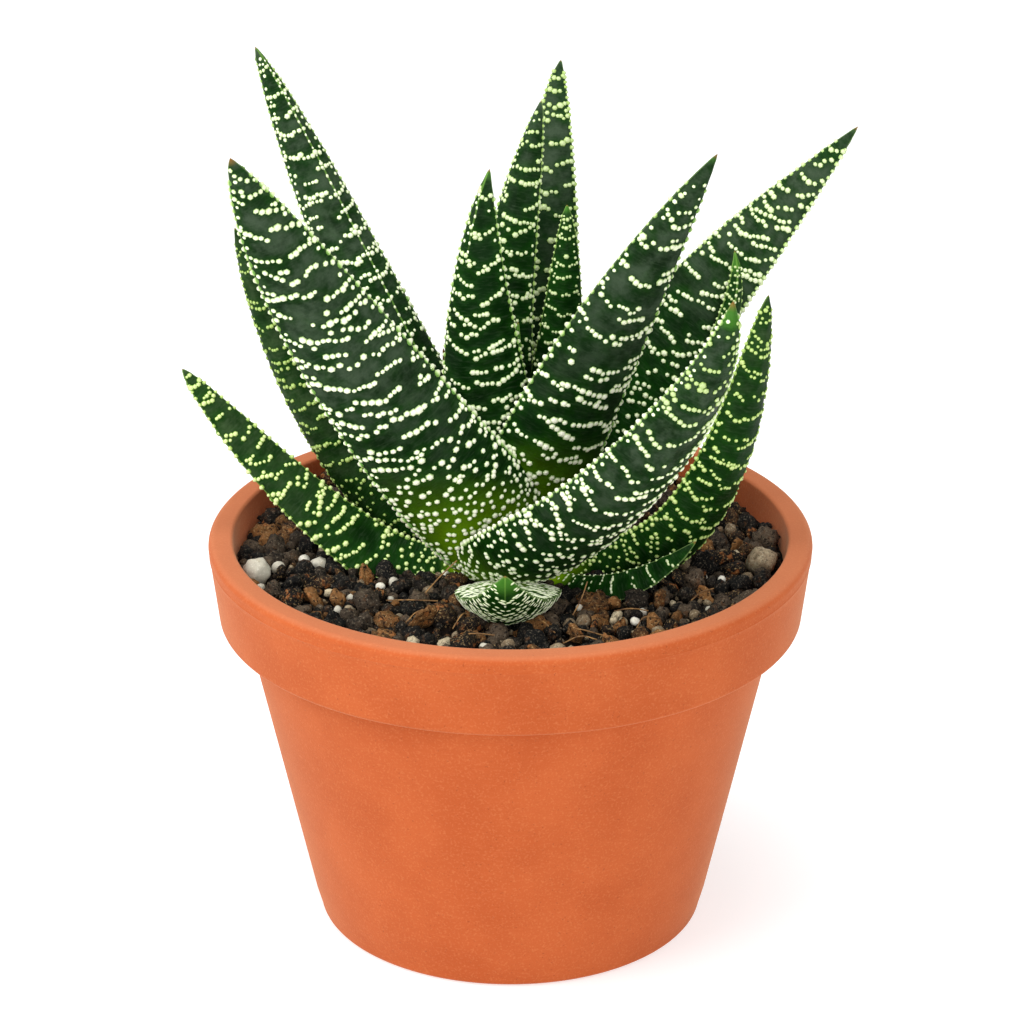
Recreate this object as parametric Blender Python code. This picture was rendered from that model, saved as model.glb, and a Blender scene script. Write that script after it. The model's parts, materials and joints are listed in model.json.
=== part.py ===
# Potted gasteraloe: a clay pot, gritty soil, a short rooted stem and a rosette of warty leaves.
# The frame has its origin at the centre of the pot's foot, on the ground, with +Z up.
# +X is the right of the plant as it is usually looked at, from -Y.
# Sizes are written in millimetres and turned to metres where meshes are made.
import math
import random
from collections import namedtuple

import bmesh
import bpy
from mathutils import Vector

MM = 0.001

# Clay pot
RIM_RADIUS = 60.0
RIM_HEIGHT = 81.5
LIP_THICKNESS = 4.9
LIP_ROUNDING = 1.6
COLLAR_RADIUS = 58.2
COLLAR_BOTTOM = 64.5
COLLAR_EDGE = 1.0
BODY_TOP_RADIUS = 53.2
FOOT_RADIUS = 39.0
FOOT_ROUNDING = 1.2
FLOOR_THICKNESS = 6.0
WALL_THICKNESS = 4.6
DRAIN_RADIUS = 6.0
POT_SEGMENTS = 56

# Soil
SOIL_LEVEL = 75.0
SOIL_GRAIN = 1.5
SOIL_RINGS = 10
SOIL_SEGMENTS = 56
STEM_HOLE_RADIUS = 9.0
STEM_HOLE_FLOOR = 40.0
CLEARANCE = 0.3

# Stem and roots
STEM_RADIUS = 6.0
STEM_TOP = 92.0
STEM_SHOULDER = 76.0
STEM_FOOT = 58.0
STEM_TAPER = 2.0
STEM_SEGMENTS = 20
ROOT_COUNT = 6
ROOT_RADIUS = 1.5
ROOT_END = 0.5
ROOT_START = 64.0
ROOT_START_RADIUS = 2.2
ROOT_END_RADIUS = 6.3
ROOT_LENGTH = 22.0

# Leaves. Warts stand in rows across a leaf, and each row ends in a tooth at the margins.
WART_ROW_PITCH = 7.5
WART_ROW_WIDTH = 2.2
WART_HEIGHT = 0.5
WART_SHARE = 0.88
MARGIN_TOOTH = 0.4
BARE_BASE = 14.0
BARE_TIP = 7.0
OUTER_SIDES = 6
INNER_SIDES = 4
EDGE_HALF_WIDTH = 0.15
BACK_SHARE = 0.75
INNER_BULGE = 0.2
OPENING_SHARE = 0.3

# Room that is left round a leaf where another leaf, or the soil, is cut back for it
LEAF_GAP = 0.85
ROOM_RING_PITCH = 5.0

# A leaf's route is a cubic curve through foot and tip, pulled towards two handles, all in mm.
# inner is the azimuth and elevation, in degrees, that its inner face looks to.
# taper sets how soon it narrows, neck is the share of its width and thickness that it has at the
# foot, and keel how sharp its back gets towards the tip.
Leaf = namedtuple("Leaf", "name foot handle_a handle_b tip width thick inner taper neck keel tone")

LEAVES = [
    Leaf("leaf_bud", (0, -2, 88), (0, -2, 100), (1, 1, 115), (1.5, 2, 125),
         5, 3, (90, -20), 1.8, 0.9, 0.5, "young"),
    Leaf("leaf_young_centre", (3, 0, 86), (11, 4, 114), (11, 6, 139), (11, 8, 147),
         11, 4, (90, -20), 1.6, 0.8, 0.7, "young"),
    Leaf("leaf_young_right", (5, -1, 86), (34, 1, 92), (46, 3, 125), (43.5, 4, 139),
         10, 4, (110, -10), 1.7, 0.8, 0.6, "young"),
    Leaf("leaf_dry_tip", (-3, 4, 84), (-8, 9, 90), (-11.5, 13, 104), (-13.4, 14, 115),
         7, 3.5, (-30, 10), 2.1, 0.85, 0.5, "young"),
    Leaf("leaf_centre_front", (-1, -4, 85), (-4, -3, 103), (-8.6, -2, 132), (-4, 0, 157),
         20, 7, (90, -20), 1.9, 1.0, 0.5, "green"),
    Leaf("leaf_centre_middle", (0, 1, 85), (-6, 6, 120), (3, 12, 151), (6, 18, 165),
         14, 7, (80, -20), 1.8, 0.85, 0.5, "green"),
    Leaf("leaf_centre_tall", (2, 5, 83), (8.5, 12, 120), (7, 22, 158), (10, 32, 169),
         16, 6, (-90, 20), 1.8, 0.85, 0.4, "green"),
    Leaf("leaf_inner_right", (2, -1, 81), (0, -2, 87), (18, -10, 130), (39, -12, 164),
         24, 7.5, (115, -15), 2.5, 0.85, 0.5, "green"),
    Leaf("leaf_far_right", (6, 2, 81), (34, 5, 128), (43.5, 10, 134), (67.3, 11, 162),
         19, 6, (-100, 20), 2.3, 0.85, 0.4, "green"),
    Leaf("leaf_tall_left", (-5, 4, 82), (-24, 12, 114), (-41.6, 20, 156), (-50, 26, 173.5),
         15.8, 7, (85, -20), 1.9, 0.85, 0.5, "green"),
    Leaf("leaf_back_middle", (1, 7, 80), (2, 22, 96), (4, 38, 112), (5, 50, 128),
         17, 6, (-90, 40), 2.0, 0.85, 0.4, "green"),
    Leaf("leaf_back_left", (-5, 6, 79), (-14, 18, 88), (-26, 30, 94), (-31, 37, 108),
         15, 6, (-60, 40), 2.0, 0.85, 0.4, "green"),
    Leaf("leaf_back_right", (6, 6, 79), (15, 20, 88), (30, 32, 96), (35, 38, 110),
         15, 6, (-120, 40), 2.0, 0.85, 0.4, "green"),
    Leaf("leaf_outer_left", (-7, 2, 79), (-31, 8, 78), (-49, 12, 123), (-54, 12, 141),
         14, 5, (60, -20), 2.2, 0.85, 0.5, "yellow"),
    Leaf("leaf_outer_right", (8, -4, 78), (41, -10, 69), (46.5, -13, 122), (49.4, -10, 135),
         17.5, 6, (120, 10), 1.9, 0.85, 0.5, "yellow"),
    Leaf("leaf_front_left", (1, -7, 83), (-11, -14, 93), (-43, -28, 147), (-51, -36, 171),
         24.5, 8, (80, -25), 2.7, 0.9, 0.5, "green"),
    Leaf("leaf_front_right", (-12, -8, 78.5), (8, -24, 81.5), (40, -40, 124.5), (41, -38, 144),
         23, 8.5, (115, 10), 2.3, 0.15, 0.6, "green"),
    Leaf("leaf_low_left", (-9, -6, 77), (-22, -8, 65), (-56, 2, 104), (-65, 9, 112.5),
         12, 4.5, (-80, 35), 2.4, 0.85, 0.4, "yellow"),
    Leaf("leaf_short_front", (-0.4, -11, 74), (-0.4, -22, 80), (-1, -38, 78.5), (-1, -40, 89.5),
         20.8, 8.5, (90, 75), 2.6, 0.5, 0.4, "green"),
    Leaf("leaf_short_right", (7, -9, 75), (16, -20, 74.5), (27, -21, 79), (36, -18, 87),
         6.5, 3, (-90, 50), 2.8, 0.8, 0.4, "green"),
]

TONES = {
    "green": (0.035, 0.085, 0.035, 1.0),
    "yellow": (0.055, 0.12, 0.035, 1.0),
    "young": (0.06, 0.14, 0.045, 1.0),
}
CLAY_COLOUR = (0.62, 0.19, 0.07, 1.0)
SOIL_COLOUR = (0.035, 0.025, 0.02, 1.0)
STEM_COLOUR = (0.32, 0.22, 0.10, 1.0)


def clear_scene():
    for item in list(bpy.data.objects):
        bpy.data.objects.remove(item, do_unlink=True)


def plain_material(name, colour, roughness):
    material = bpy.data.materials.new(name)
    material.use_nodes = True
    shader = material.node_tree.nodes["Principled BSDF"]
    shader.inputs["Base Color"].default_value = colour
    shader.inputs["Roughness"].default_value = roughness
    shader.inputs["Metallic"].default_value = 0.0
    return material


def add_object(name, mesh, material):
    item = bpy.data.objects.new(name, mesh)
    bpy.context.collection.objects.link(item)
    mesh.materials.append(material)
    return item


def mesh_from(bm, name):
    bmesh.ops.recalc_face_normals(bm, faces=bm.faces)
    mesh = bpy.data.meshes.new(name)
    bm.to_mesh(mesh)
    bm.free()
    return mesh


def smooth(item, angle):
    item.data.shade_smooth()
    item.data.set_sharp_from_angle(angle=math.radians(angle))


def arc(centre, radius, start, end, steps):
    """Points (r, z) along a round stretch of a turned profile, angles in degrees."""
    points = []
    for step in range(steps + 1):
        angle = math.radians(start + (end - start) * step / steps)
        points.append((centre[0] + radius * math.cos(angle), centre[1] + radius * math.sin(angle)))
    return points


def turned(name, profile, segments, closed):
    """A turned solid. A closed profile is a ring's section; an open one starts and ends on the axis."""
    bm = bmesh.new()
    rings = []
    for radius, height in profile:
        if radius < 1e-6:
            rings.append([bm.verts.new((0.0, 0.0, height * MM))])
            continue
        ring = []
        for index in range(segments):
            angle = 2.0 * math.pi * index / segments
            place = Vector((radius * math.cos(angle), radius * math.sin(angle), height))
            ring.append(bm.verts.new(place * MM))
        rings.append(ring)
    pairs = list(zip(rings, rings[1:]))
    if closed:
        pairs.append((rings[-1], rings[0]))
    for lower, upper in pairs:
        for index in range(segments):
            after = (index + 1) % segments
            corners = [lower[index % len(lower)], lower[after % len(lower)],
                       upper[after % len(upper)], upper[index % len(upper)]]
            bm.faces.new(list(dict.fromkeys(corners)))
    return mesh_from(bm, name)


def inner_wall_radius(height):
    """Radius of the pot's inside at a height: steep in the collar, thinner walled below it."""
    slope = (BODY_TOP_RADIUS - FOOT_RADIUS) / COLLAR_BOTTOM
    below = FOOT_RADIUS + slope * height - WALL_THICKNESS
    if height < COLLAR_BOTTOM:
        return below
    lip_inside = RIM_RADIUS - LIP_THICKNESS
    lip_foot = RIM_HEIGHT - LIP_ROUNDING
    share = (height - COLLAR_BOTTOM) / (lip_foot - COLLAR_BOTTOM)
    step = FOOT_RADIUS + slope * COLLAR_BOTTOM - WALL_THICKNESS
    return step + (lip_inside - step) * math.sin(share * math.pi / 2.0) ** 0.5


def inner_wall(bottom, top, inset):
    """Points (r, z) up the pot's inside between two heights, moved in from the clay by inset."""
    heights = {bottom, COLLAR_BOTTOM, COLLAR_BOTTOM + 2.0, COLLAR_BOTTOM + 5.0, SOIL_LEVEL, top}
    kept = sorted(height for height in heights if bottom <= height <= top)
    return [(inner_wall_radius(height) - inset, height) for height in kept]


def make_pot():
    lip_inside = RIM_RADIUS - LIP_THICKNESS
    profile = [(DRAIN_RADIUS, 0.0)]
    profile += arc((FOOT_RADIUS - FOOT_ROUNDING, FOOT_ROUNDING), FOOT_ROUNDING, -90, 0, 2)
    profile += [(BODY_TOP_RADIUS, COLLAR_BOTTOM)]
    profile += arc((COLLAR_RADIUS - COLLAR_EDGE, COLLAR_BOTTOM + COLLAR_EDGE), COLLAR_EDGE, -90, 0, 2)
    outer_centre = (RIM_RADIUS - LIP_ROUNDING, RIM_HEIGHT - LIP_ROUNDING)
    inner_centre = (lip_inside + LIP_ROUNDING, RIM_HEIGHT - LIP_ROUNDING)
    profile += arc(outer_centre, LIP_ROUNDING, 0, 90, 3)
    profile += arc(inner_centre, LIP_ROUNDING, 90, 180, 3)
    inside = inner_wall(FLOOR_THICKNESS, RIM_HEIGHT - LIP_ROUNDING, 0.0)
    profile += list(reversed(inside))[1:]
    profile += [(DRAIN_RADIUS, FLOOR_THICKNESS)]
    mesh = turned("pot", profile, POT_SEGMENTS, closed=True)
    pot = add_object("pot", mesh, plain_material("terracotta", CLAY_COLOUR, 0.85))
    smooth(pot, 35)
    return pot


def stem_profile(grow):
    """The caudex's outline (r, z) above its shoulder, moved outwards by grow."""
    return [(STEM_RADIUS + grow, STEM_SHOULDER), (STEM_RADIUS - STEM_TAPER + grow, STEM_TOP - 6.0),
            (STEM_TAPER + grow, STEM_TOP - 1.0 + grow), (0.0, STEM_TOP + grow)]


def make_root(angle):
    """One thick root: a thin cone from inside the caudex down and outwards."""
    outward = Vector((math.cos(angle), math.sin(angle), 0.0))
    start = outward * ROOT_START_RADIUS + Vector((0.0, 0.0, ROOT_START))
    end = outward * ROOT_END_RADIUS + Vector((0.0, 0.0, ROOT_START - ROOT_LENGTH))
    along = end - start
    bm = bmesh.new()
    bmesh.ops.create_cone(bm, cap_ends=True, segments=6, radius1=ROOT_RADIUS * MM,
                          radius2=ROOT_END * MM, depth=along.length * MM)
    turn = Vector((0.0, 0.0, 1.0)).rotation_difference(along).to_matrix().to_4x4()
    bmesh.ops.transform(bm, matrix=turn, verts=bm.verts)
    bmesh.ops.translate(bm, vec=(start + end) / 2.0 * MM, verts=bm.verts)
    return bpy.data.objects.new("root", mesh_from(bm, "root"))


def make_stem():
    """The short caudex, with thick roots that spread a little inside the hole in the soil."""
    profile = [(0.0, STEM_FOOT), (2.0, STEM_FOOT + 1.0), (4.0, STEM_FOOT + 6.0)]
    profile += [(STEM_RADIUS, STEM_SHOULDER - 8.0)] + stem_profile(0.0)
    mesh = turned("stem_and_roots", profile, STEM_SEGMENTS, closed=False)
    stem = add_object("stem_and_roots", mesh, plain_material("root_bark", STEM_COLOUR, 0.9))
    roots = bpy.data.collections.new("roots")
    for index in range(ROOT_COUNT):
        roots.objects.link(make_root(2.0 * math.pi * index / ROOT_COUNT))
    boolean(stem, roots, "UNION")
    smooth(stem, 40)
    return stem


def boolean(item, cutters, operation):
    """Applies one Boolean with every object of a collection, which is then removed."""
    bpy.context.scene.collection.children.link(cutters)
    modifier = item.modifiers.new("join", "BOOLEAN")
    modifier.operation = operation
    modifier.operand_type = "COLLECTION"
    modifier.collection = cutters
    modifier.solver = "MANIFOLD"
    bpy.context.view_layer.update()
    evaluated = item.evaluated_get(bpy.context.evaluated_depsgraph_get())
    result = bpy.data.meshes.new_from_object(evaluated)
    item.modifiers.remove(modifier)
    item.data = result
    for cutter in list(cutters.objects):
        bpy.data.objects.remove(cutter, do_unlink=True)
    bpy.data.collections.remove(cutters)


def keep_largest(item):
    """Drops the flat fins and loose scraps that a cut can leave, keeping the largest body."""
    bm = bmesh.new()
    bm.from_mesh(item.data)
    bmesh.ops.triangulate(bm, faces=bm.faces)
    seen = {}
    for face in bm.faces:
        seen.setdefault(frozenset(face.verts), []).append(face)
    fins = [face for twins in seen.values() if len(twins) > 1 for face in twins]
    bmesh.ops.delete(bm, geom=fins, context="FACES")
    left = set(bm.faces)
    bodies = []
    while left:
        start = left.pop()
        body, waiting = [start], [start]
        while waiting:
            face = waiting.pop()
            for edge in face.edges:
                for other in edge.link_faces:
                    if other in left:
                        left.remove(other)
                        body.append(other)
                        waiting.append(other)
        bodies.append(body)
    bodies.sort(key=lambda body: sum(face.calc_area() for face in body))
    for body in bodies[:-1]:
        bmesh.ops.delete(bm, geom=body, context="FACES")
    loose = [vert for vert in bm.verts if not vert.link_faces]
    bmesh.ops.delete(bm, geom=loose, context="VERTS")
    bm.to_mesh(item.data)
    bm.free()


def facing(inner):
    azimuth, elevation = (math.radians(angle) for angle in inner)
    flat = math.cos(elevation)
    return Vector((flat * math.cos(azimuth), flat * math.sin(azimuth), math.sin(elevation)))


def route(leaf, share):
    """Centre, direction, inner-face normal and width direction at a share of the leaf's curve."""
    foot, one, two, tip = (Vector(point) for point in (leaf.foot, leaf.handle_a, leaf.handle_b, leaf.tip))
    rest = 1.0 - share
    centre = foot * rest ** 3 + one * 3 * rest ** 2 * share + two * 3 * rest * share ** 2 + tip * share ** 3
    along = (one - foot) * rest ** 2 + (two - one) * 2 * rest * share + (tip - two) * share ** 2
    along.normalize()
    look = facing(leaf.inner)
    normal = (look - along * look.dot(along)).normalized()
    return centre, along, normal, along.cross(normal)


def leaf_length(leaf, steps=60):
    points = [route(leaf, step / steps)[0] for step in range(steps + 1)]
    return sum((after - before).length for before, after in zip(points, points[1:]))


def opening(leaf, share):
    """How far the leaf has filled out from its neck: fully from OPENING_SHARE of its length."""
    rise = math.sin(min(share / OPENING_SHARE, 1.0) * math.pi / 2.0)
    return leaf.neck + (1.0 - leaf.neck) * rise


def half_width(leaf, share):
    spread = (1.0 - share ** leaf.taper) ** 0.95
    return leaf.width / 2.0 * spread * opening(leaf, share) + EDGE_HALF_WIDTH


def section(leaf, share, grow):
    """The leaf's cross-section as (across, out) pairs: margin, rounded back, margin, inner face."""
    wide = half_width(leaf, share) + grow
    deep = leaf.thick * (1.0 - share ** 2.2) ** 0.8 * opening(leaf, share)
    sharp = leaf.keel * share
    points = []
    for step in range(OUTER_SIDES + 1):
        across = math.sin((step / OUTER_SIDES * 2.0 - 1.0) * math.pi / 2.0)
        round_back = (1.0 - abs(across) ** 2.4) ** 0.75
        keeled = 1.0 - abs(across)
        back = ((1.0 - sharp) * round_back + sharp * keeled) * deep * BACK_SHARE
        at_margin = step in (0, OUTER_SIDES)
        points.append((across * wide, 0.0 if at_margin else -back - grow))
    for step in range(1, INNER_SIDES):
        across = math.sin((1.0 - step / INNER_SIDES * 2.0) * math.pi / 2.0)
        points.append((across * wide, (1.0 - across ** 2) * deep * INNER_BULGE + grow))
    return points


def leaf_rings(leaf, warty):
    """Shares of the curve where rings stand, and whether a row of warts starts at each."""
    length = leaf_length(leaf)
    if not warty:
        count = max(6, int(length / ROOM_RING_PITCH))
        return [(step / count, False) for step in range(count)]
    stations = [(0.0, False), (BARE_BASE * 0.5, False)]
    place = BARE_BASE
    while place < length - BARE_TIP:
        stations.append((place, True))
        stations.append((place + WART_ROW_WIDTH, False))
        place += WART_ROW_PITCH
    last = stations[-1][0]
    stations.append((last + (length - last) * 0.55, False))
    return [(place / length, starts) for place, starts in stations]


def leaf_mesh(leaf, grow, warty, seed):
    draw = random.Random(seed)
    bm = bmesh.new()
    rows = []
    for share, starts in leaf_rings(leaf, warty):
        centre, along, normal, across = route(leaf, share)
        if share == 0.0:
            centre = centre - along * grow
        ring = []
        for side, out in section(leaf, share, grow):
            at_margin = abs(side) > half_width(leaf, share) + grow - 0.01
            tooth = math.copysign(MARGIN_TOOTH, side) if starts and at_margin else 0.0
            place = centre + across * (side + tooth) + normal * out
            ring.append(bm.verts.new(place * MM))
        rows.append((ring, starts))
    sides = len(rows[0][0])
    warts = []
    for (lower, starts), (upper, _) in zip(rows, rows[1:]):
        for index in range(sides):
            after = (index + 1) % sides
            face = bm.faces.new((lower[index], lower[after], upper[after], upper[index]))
            if starts and draw.random() < WART_SHARE:
                warts.append(face)
    bm.faces.new(list(reversed(rows[0][0])))
    tip = bm.verts.new((Vector(leaf.tip) + route(leaf, 1.0)[1] * grow) * MM)
    last = rows[-1][0]
    for index in range(sides):
        bm.faces.new((last[index], last[(index + 1) % sides], tip))
    bmesh.ops.recalc_face_normals(bm, faces=bm.faces)
    bmesh.ops.poke(bm, faces=warts, offset=WART_HEIGHT * MM, use_relative_offset=False)
    bmesh.ops.triangulate(bm, faces=bm.faces)
    return mesh_from(bm, leaf.name)


def grown_stem():
    """A plain copy of the stem's outline, larger by the clearance."""
    profile = [(0.0, STEM_FOOT), (STEM_RADIUS + CLEARANCE, STEM_FOOT)] + stem_profile(CLEARANCE)
    return turned("stem_room", profile, STEM_SEGMENTS, closed=False)


def make_leaves():
    """Inner leaves come first, and each later one is cut back where it would cross them."""
    materials = {tone: plain_material("leaf_" + tone, colour, 0.45) for tone, colour in TONES.items()}
    made = []
    for index, leaf in enumerate(LEAVES):
        item = add_object(leaf.name, leaf_mesh(leaf, 0.0, True, index), materials[leaf.tone])
        cutters = bpy.data.collections.new("room")
        cutters.objects.link(bpy.data.objects.new("stem_room", grown_stem()))
        for earlier in LEAVES[:index]:
            room = leaf_mesh(earlier, LEAF_GAP, False, 0)
            cutters.objects.link(bpy.data.objects.new("leaf_room", room))
        boolean(item, cutters, "DIFFERENCE")
        keep_largest(item)
        smooth(item, 50)
        made.append(item)
    return made


def make_soil():
    """A plug that fills the pot, lumpy on top, with a plain hole for the stem."""
    draw = random.Random(7)
    edge = inner_wall_radius(SOIL_LEVEL) - CLEARANCE
    bottom = FLOOR_THICKNESS + CLEARANCE
    bm = bmesh.new()
    profile = [(STEM_HOLE_RADIUS, STEM_HOLE_FLOOR), (STEM_HOLE_RADIUS, SOIL_LEVEL - 4.0)]
    rings = []
    for radius, height in profile:
        rings.append([(radius, height, index, 0.0) for index in range(SOIL_SEGMENTS)])
    for step in range(SOIL_RINGS + 1):
        share = step / SOIL_RINGS
        radius = STEM_HOLE_RADIUS + (edge - STEM_HOLE_RADIUS) * share
        inside = 0 < step < SOIL_RINGS
        ring = []
        for index in range(SOIL_SEGMENTS):
            lump = draw.uniform(-1.0, 1.0) * SOIL_GRAIN if inside else 0.0
            shift = draw.uniform(-0.9, 0.9) if inside else 0.0
            turn = draw.uniform(-0.25, 0.25) if inside else 0.0
            ring.append((radius + shift, SOIL_LEVEL + lump, index, turn))
        rings.append(ring)
    for radius, height in reversed(inner_wall(bottom, SOIL_LEVEL, CLEARANCE)[:-1]):
        rings.append([(radius, height, index, 0.0) for index in range(SOIL_SEGMENTS)])
    loops = []
    for ring in rings:
        loop = []
        for radius, height, index, turn in ring:
            angle = 2.0 * math.pi * (index + turn) / SOIL_SEGMENTS
            place = Vector((radius * math.cos(angle), radius * math.sin(angle), height))
            loop.append(bm.verts.new(place * MM))
        loops.append(loop)
    for lower, upper in zip(loops, loops[1:]):
        for index in range(SOIL_SEGMENTS):
            after = (index + 1) % SOIL_SEGMENTS
            bm.faces.new((lower[index], lower[after], upper[after], upper[index]))
    bm.faces.new(loops[0])
    bm.faces.new(loops[-1])
    bmesh.ops.triangulate(bm, faces=bm.faces)
    soil = add_object("soil", mesh_from(bm, "soil"), plain_material("potting_mix", SOIL_COLOUR, 0.95))
    cutters = bpy.data.collections.new("room")
    for leaf in LEAVES:
        cutters.objects.link(bpy.data.objects.new("leaf_room", leaf_mesh(leaf, LEAF_GAP, False, 0)))
    boolean(soil, cutters, "DIFFERENCE")
    keep_largest(soil)
    return soil


def main():
    clear_scene()
    make_pot()
    make_stem()
    make_leaves()
    make_soil()


main()
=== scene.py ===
# Potted gasteraloe: the finish of the clay pot, the gritty soil, the stem and the warty leaves.
# Tables are in millimetres and are turned to metres where meshes are made; settings are in metres.
import json
import math
import random
from collections import namedtuple
from itertools import product

import bmesh
import bpy
from bpy.props import FloatProperty, FloatVectorProperty, IntProperty, PointerProperty
from mathutils import Euler, Matrix, Vector, noise
from mathutils.bvhtree import BVHTree
from mathutils.kdtree import KDTree

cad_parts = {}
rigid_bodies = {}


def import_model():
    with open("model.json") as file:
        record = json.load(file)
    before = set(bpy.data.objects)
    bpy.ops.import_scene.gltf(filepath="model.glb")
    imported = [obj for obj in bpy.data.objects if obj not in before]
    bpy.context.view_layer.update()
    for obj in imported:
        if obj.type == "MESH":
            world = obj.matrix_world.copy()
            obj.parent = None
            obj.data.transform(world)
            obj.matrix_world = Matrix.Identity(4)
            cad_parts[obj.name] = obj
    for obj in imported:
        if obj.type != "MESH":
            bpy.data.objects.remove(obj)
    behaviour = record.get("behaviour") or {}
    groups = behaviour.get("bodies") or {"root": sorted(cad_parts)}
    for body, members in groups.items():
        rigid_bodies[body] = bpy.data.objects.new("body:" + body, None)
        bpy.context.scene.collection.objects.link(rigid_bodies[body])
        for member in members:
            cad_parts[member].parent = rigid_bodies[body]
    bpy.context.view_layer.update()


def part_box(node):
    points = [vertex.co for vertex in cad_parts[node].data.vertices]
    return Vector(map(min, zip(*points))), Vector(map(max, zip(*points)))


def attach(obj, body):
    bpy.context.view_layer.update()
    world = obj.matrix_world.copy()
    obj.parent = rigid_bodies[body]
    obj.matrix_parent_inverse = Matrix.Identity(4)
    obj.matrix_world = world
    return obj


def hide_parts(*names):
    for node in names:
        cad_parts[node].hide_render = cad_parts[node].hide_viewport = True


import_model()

bl_info = {
    "name": "Potted gasteraloe",
    "version": (1, 0, 0),
    "blender": (4, 5, 0),
    "location": "3D View > Sidebar > Gasteraloe",
    "description": "Builds a potted gasteraloe with warty leaves, a clay pot and gritty soil",
    "category": "Object",
}

MM = 0.001
CLEARANCE = 0.3 * MM

# The pot's sizes that the frame gives: half its box is the rim's radius, its top the rim's height
RIM_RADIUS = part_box("pot")[1][0]
RIM_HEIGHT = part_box("pot")[1][2]
SOIL_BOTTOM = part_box("soil")[0][2]

# A leaf's route is a cubic curve through foot and tip, pulled towards two handles, all in mm.
# inner is the azimuth and elevation, in degrees, that its inner face looks to. taper sets how soon it
# narrows, neck is the share of its width and thickness at the foot, keel how sharp its back gets.
# The rest is its dress. flush is how high yellow-green climbs from the foot, in mm, and lean how much
# further it climbs at one margin. pearl is a wart's width in mm and dash its length over its width;
# pitch is the spacing of the bands of warts in mm and lines how many rows a band has, about; sag and
# skew bend and tilt the rows, as shares of the leaf's width. ridge is the place, -1 to 1 across the
# back, of a ridge line and the share of the leaf where it starts. dry and fresh are the lengths of the
# spent tip and of the bright green below it, and bare the length of tip without warts, in mm. grey is
# the share of the leaf where its grey bloom starts, a bloom that is partly wax and partly painted
# sheen and painted light on the leaf's upper part. tint is how green its warts are, partly as painted
# shade that dims the warts of leaves lying further from the light, and fade how much greener they get
# towards the tip.
Leaf = namedtuple(
    "Leaf", "name foot handle_a handle_b tip width thick inner taper neck keel tone "
    "flush lean pearl dash pitch lines sag skew ridge dry fresh bare grey tint fade",
    defaults=(6, 0, 1.05, 1.05, 4.8, 1.7, 0.12, 0, None, 0.7, 1.5, 3, 0.3, 0.15, 0.8))
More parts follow.
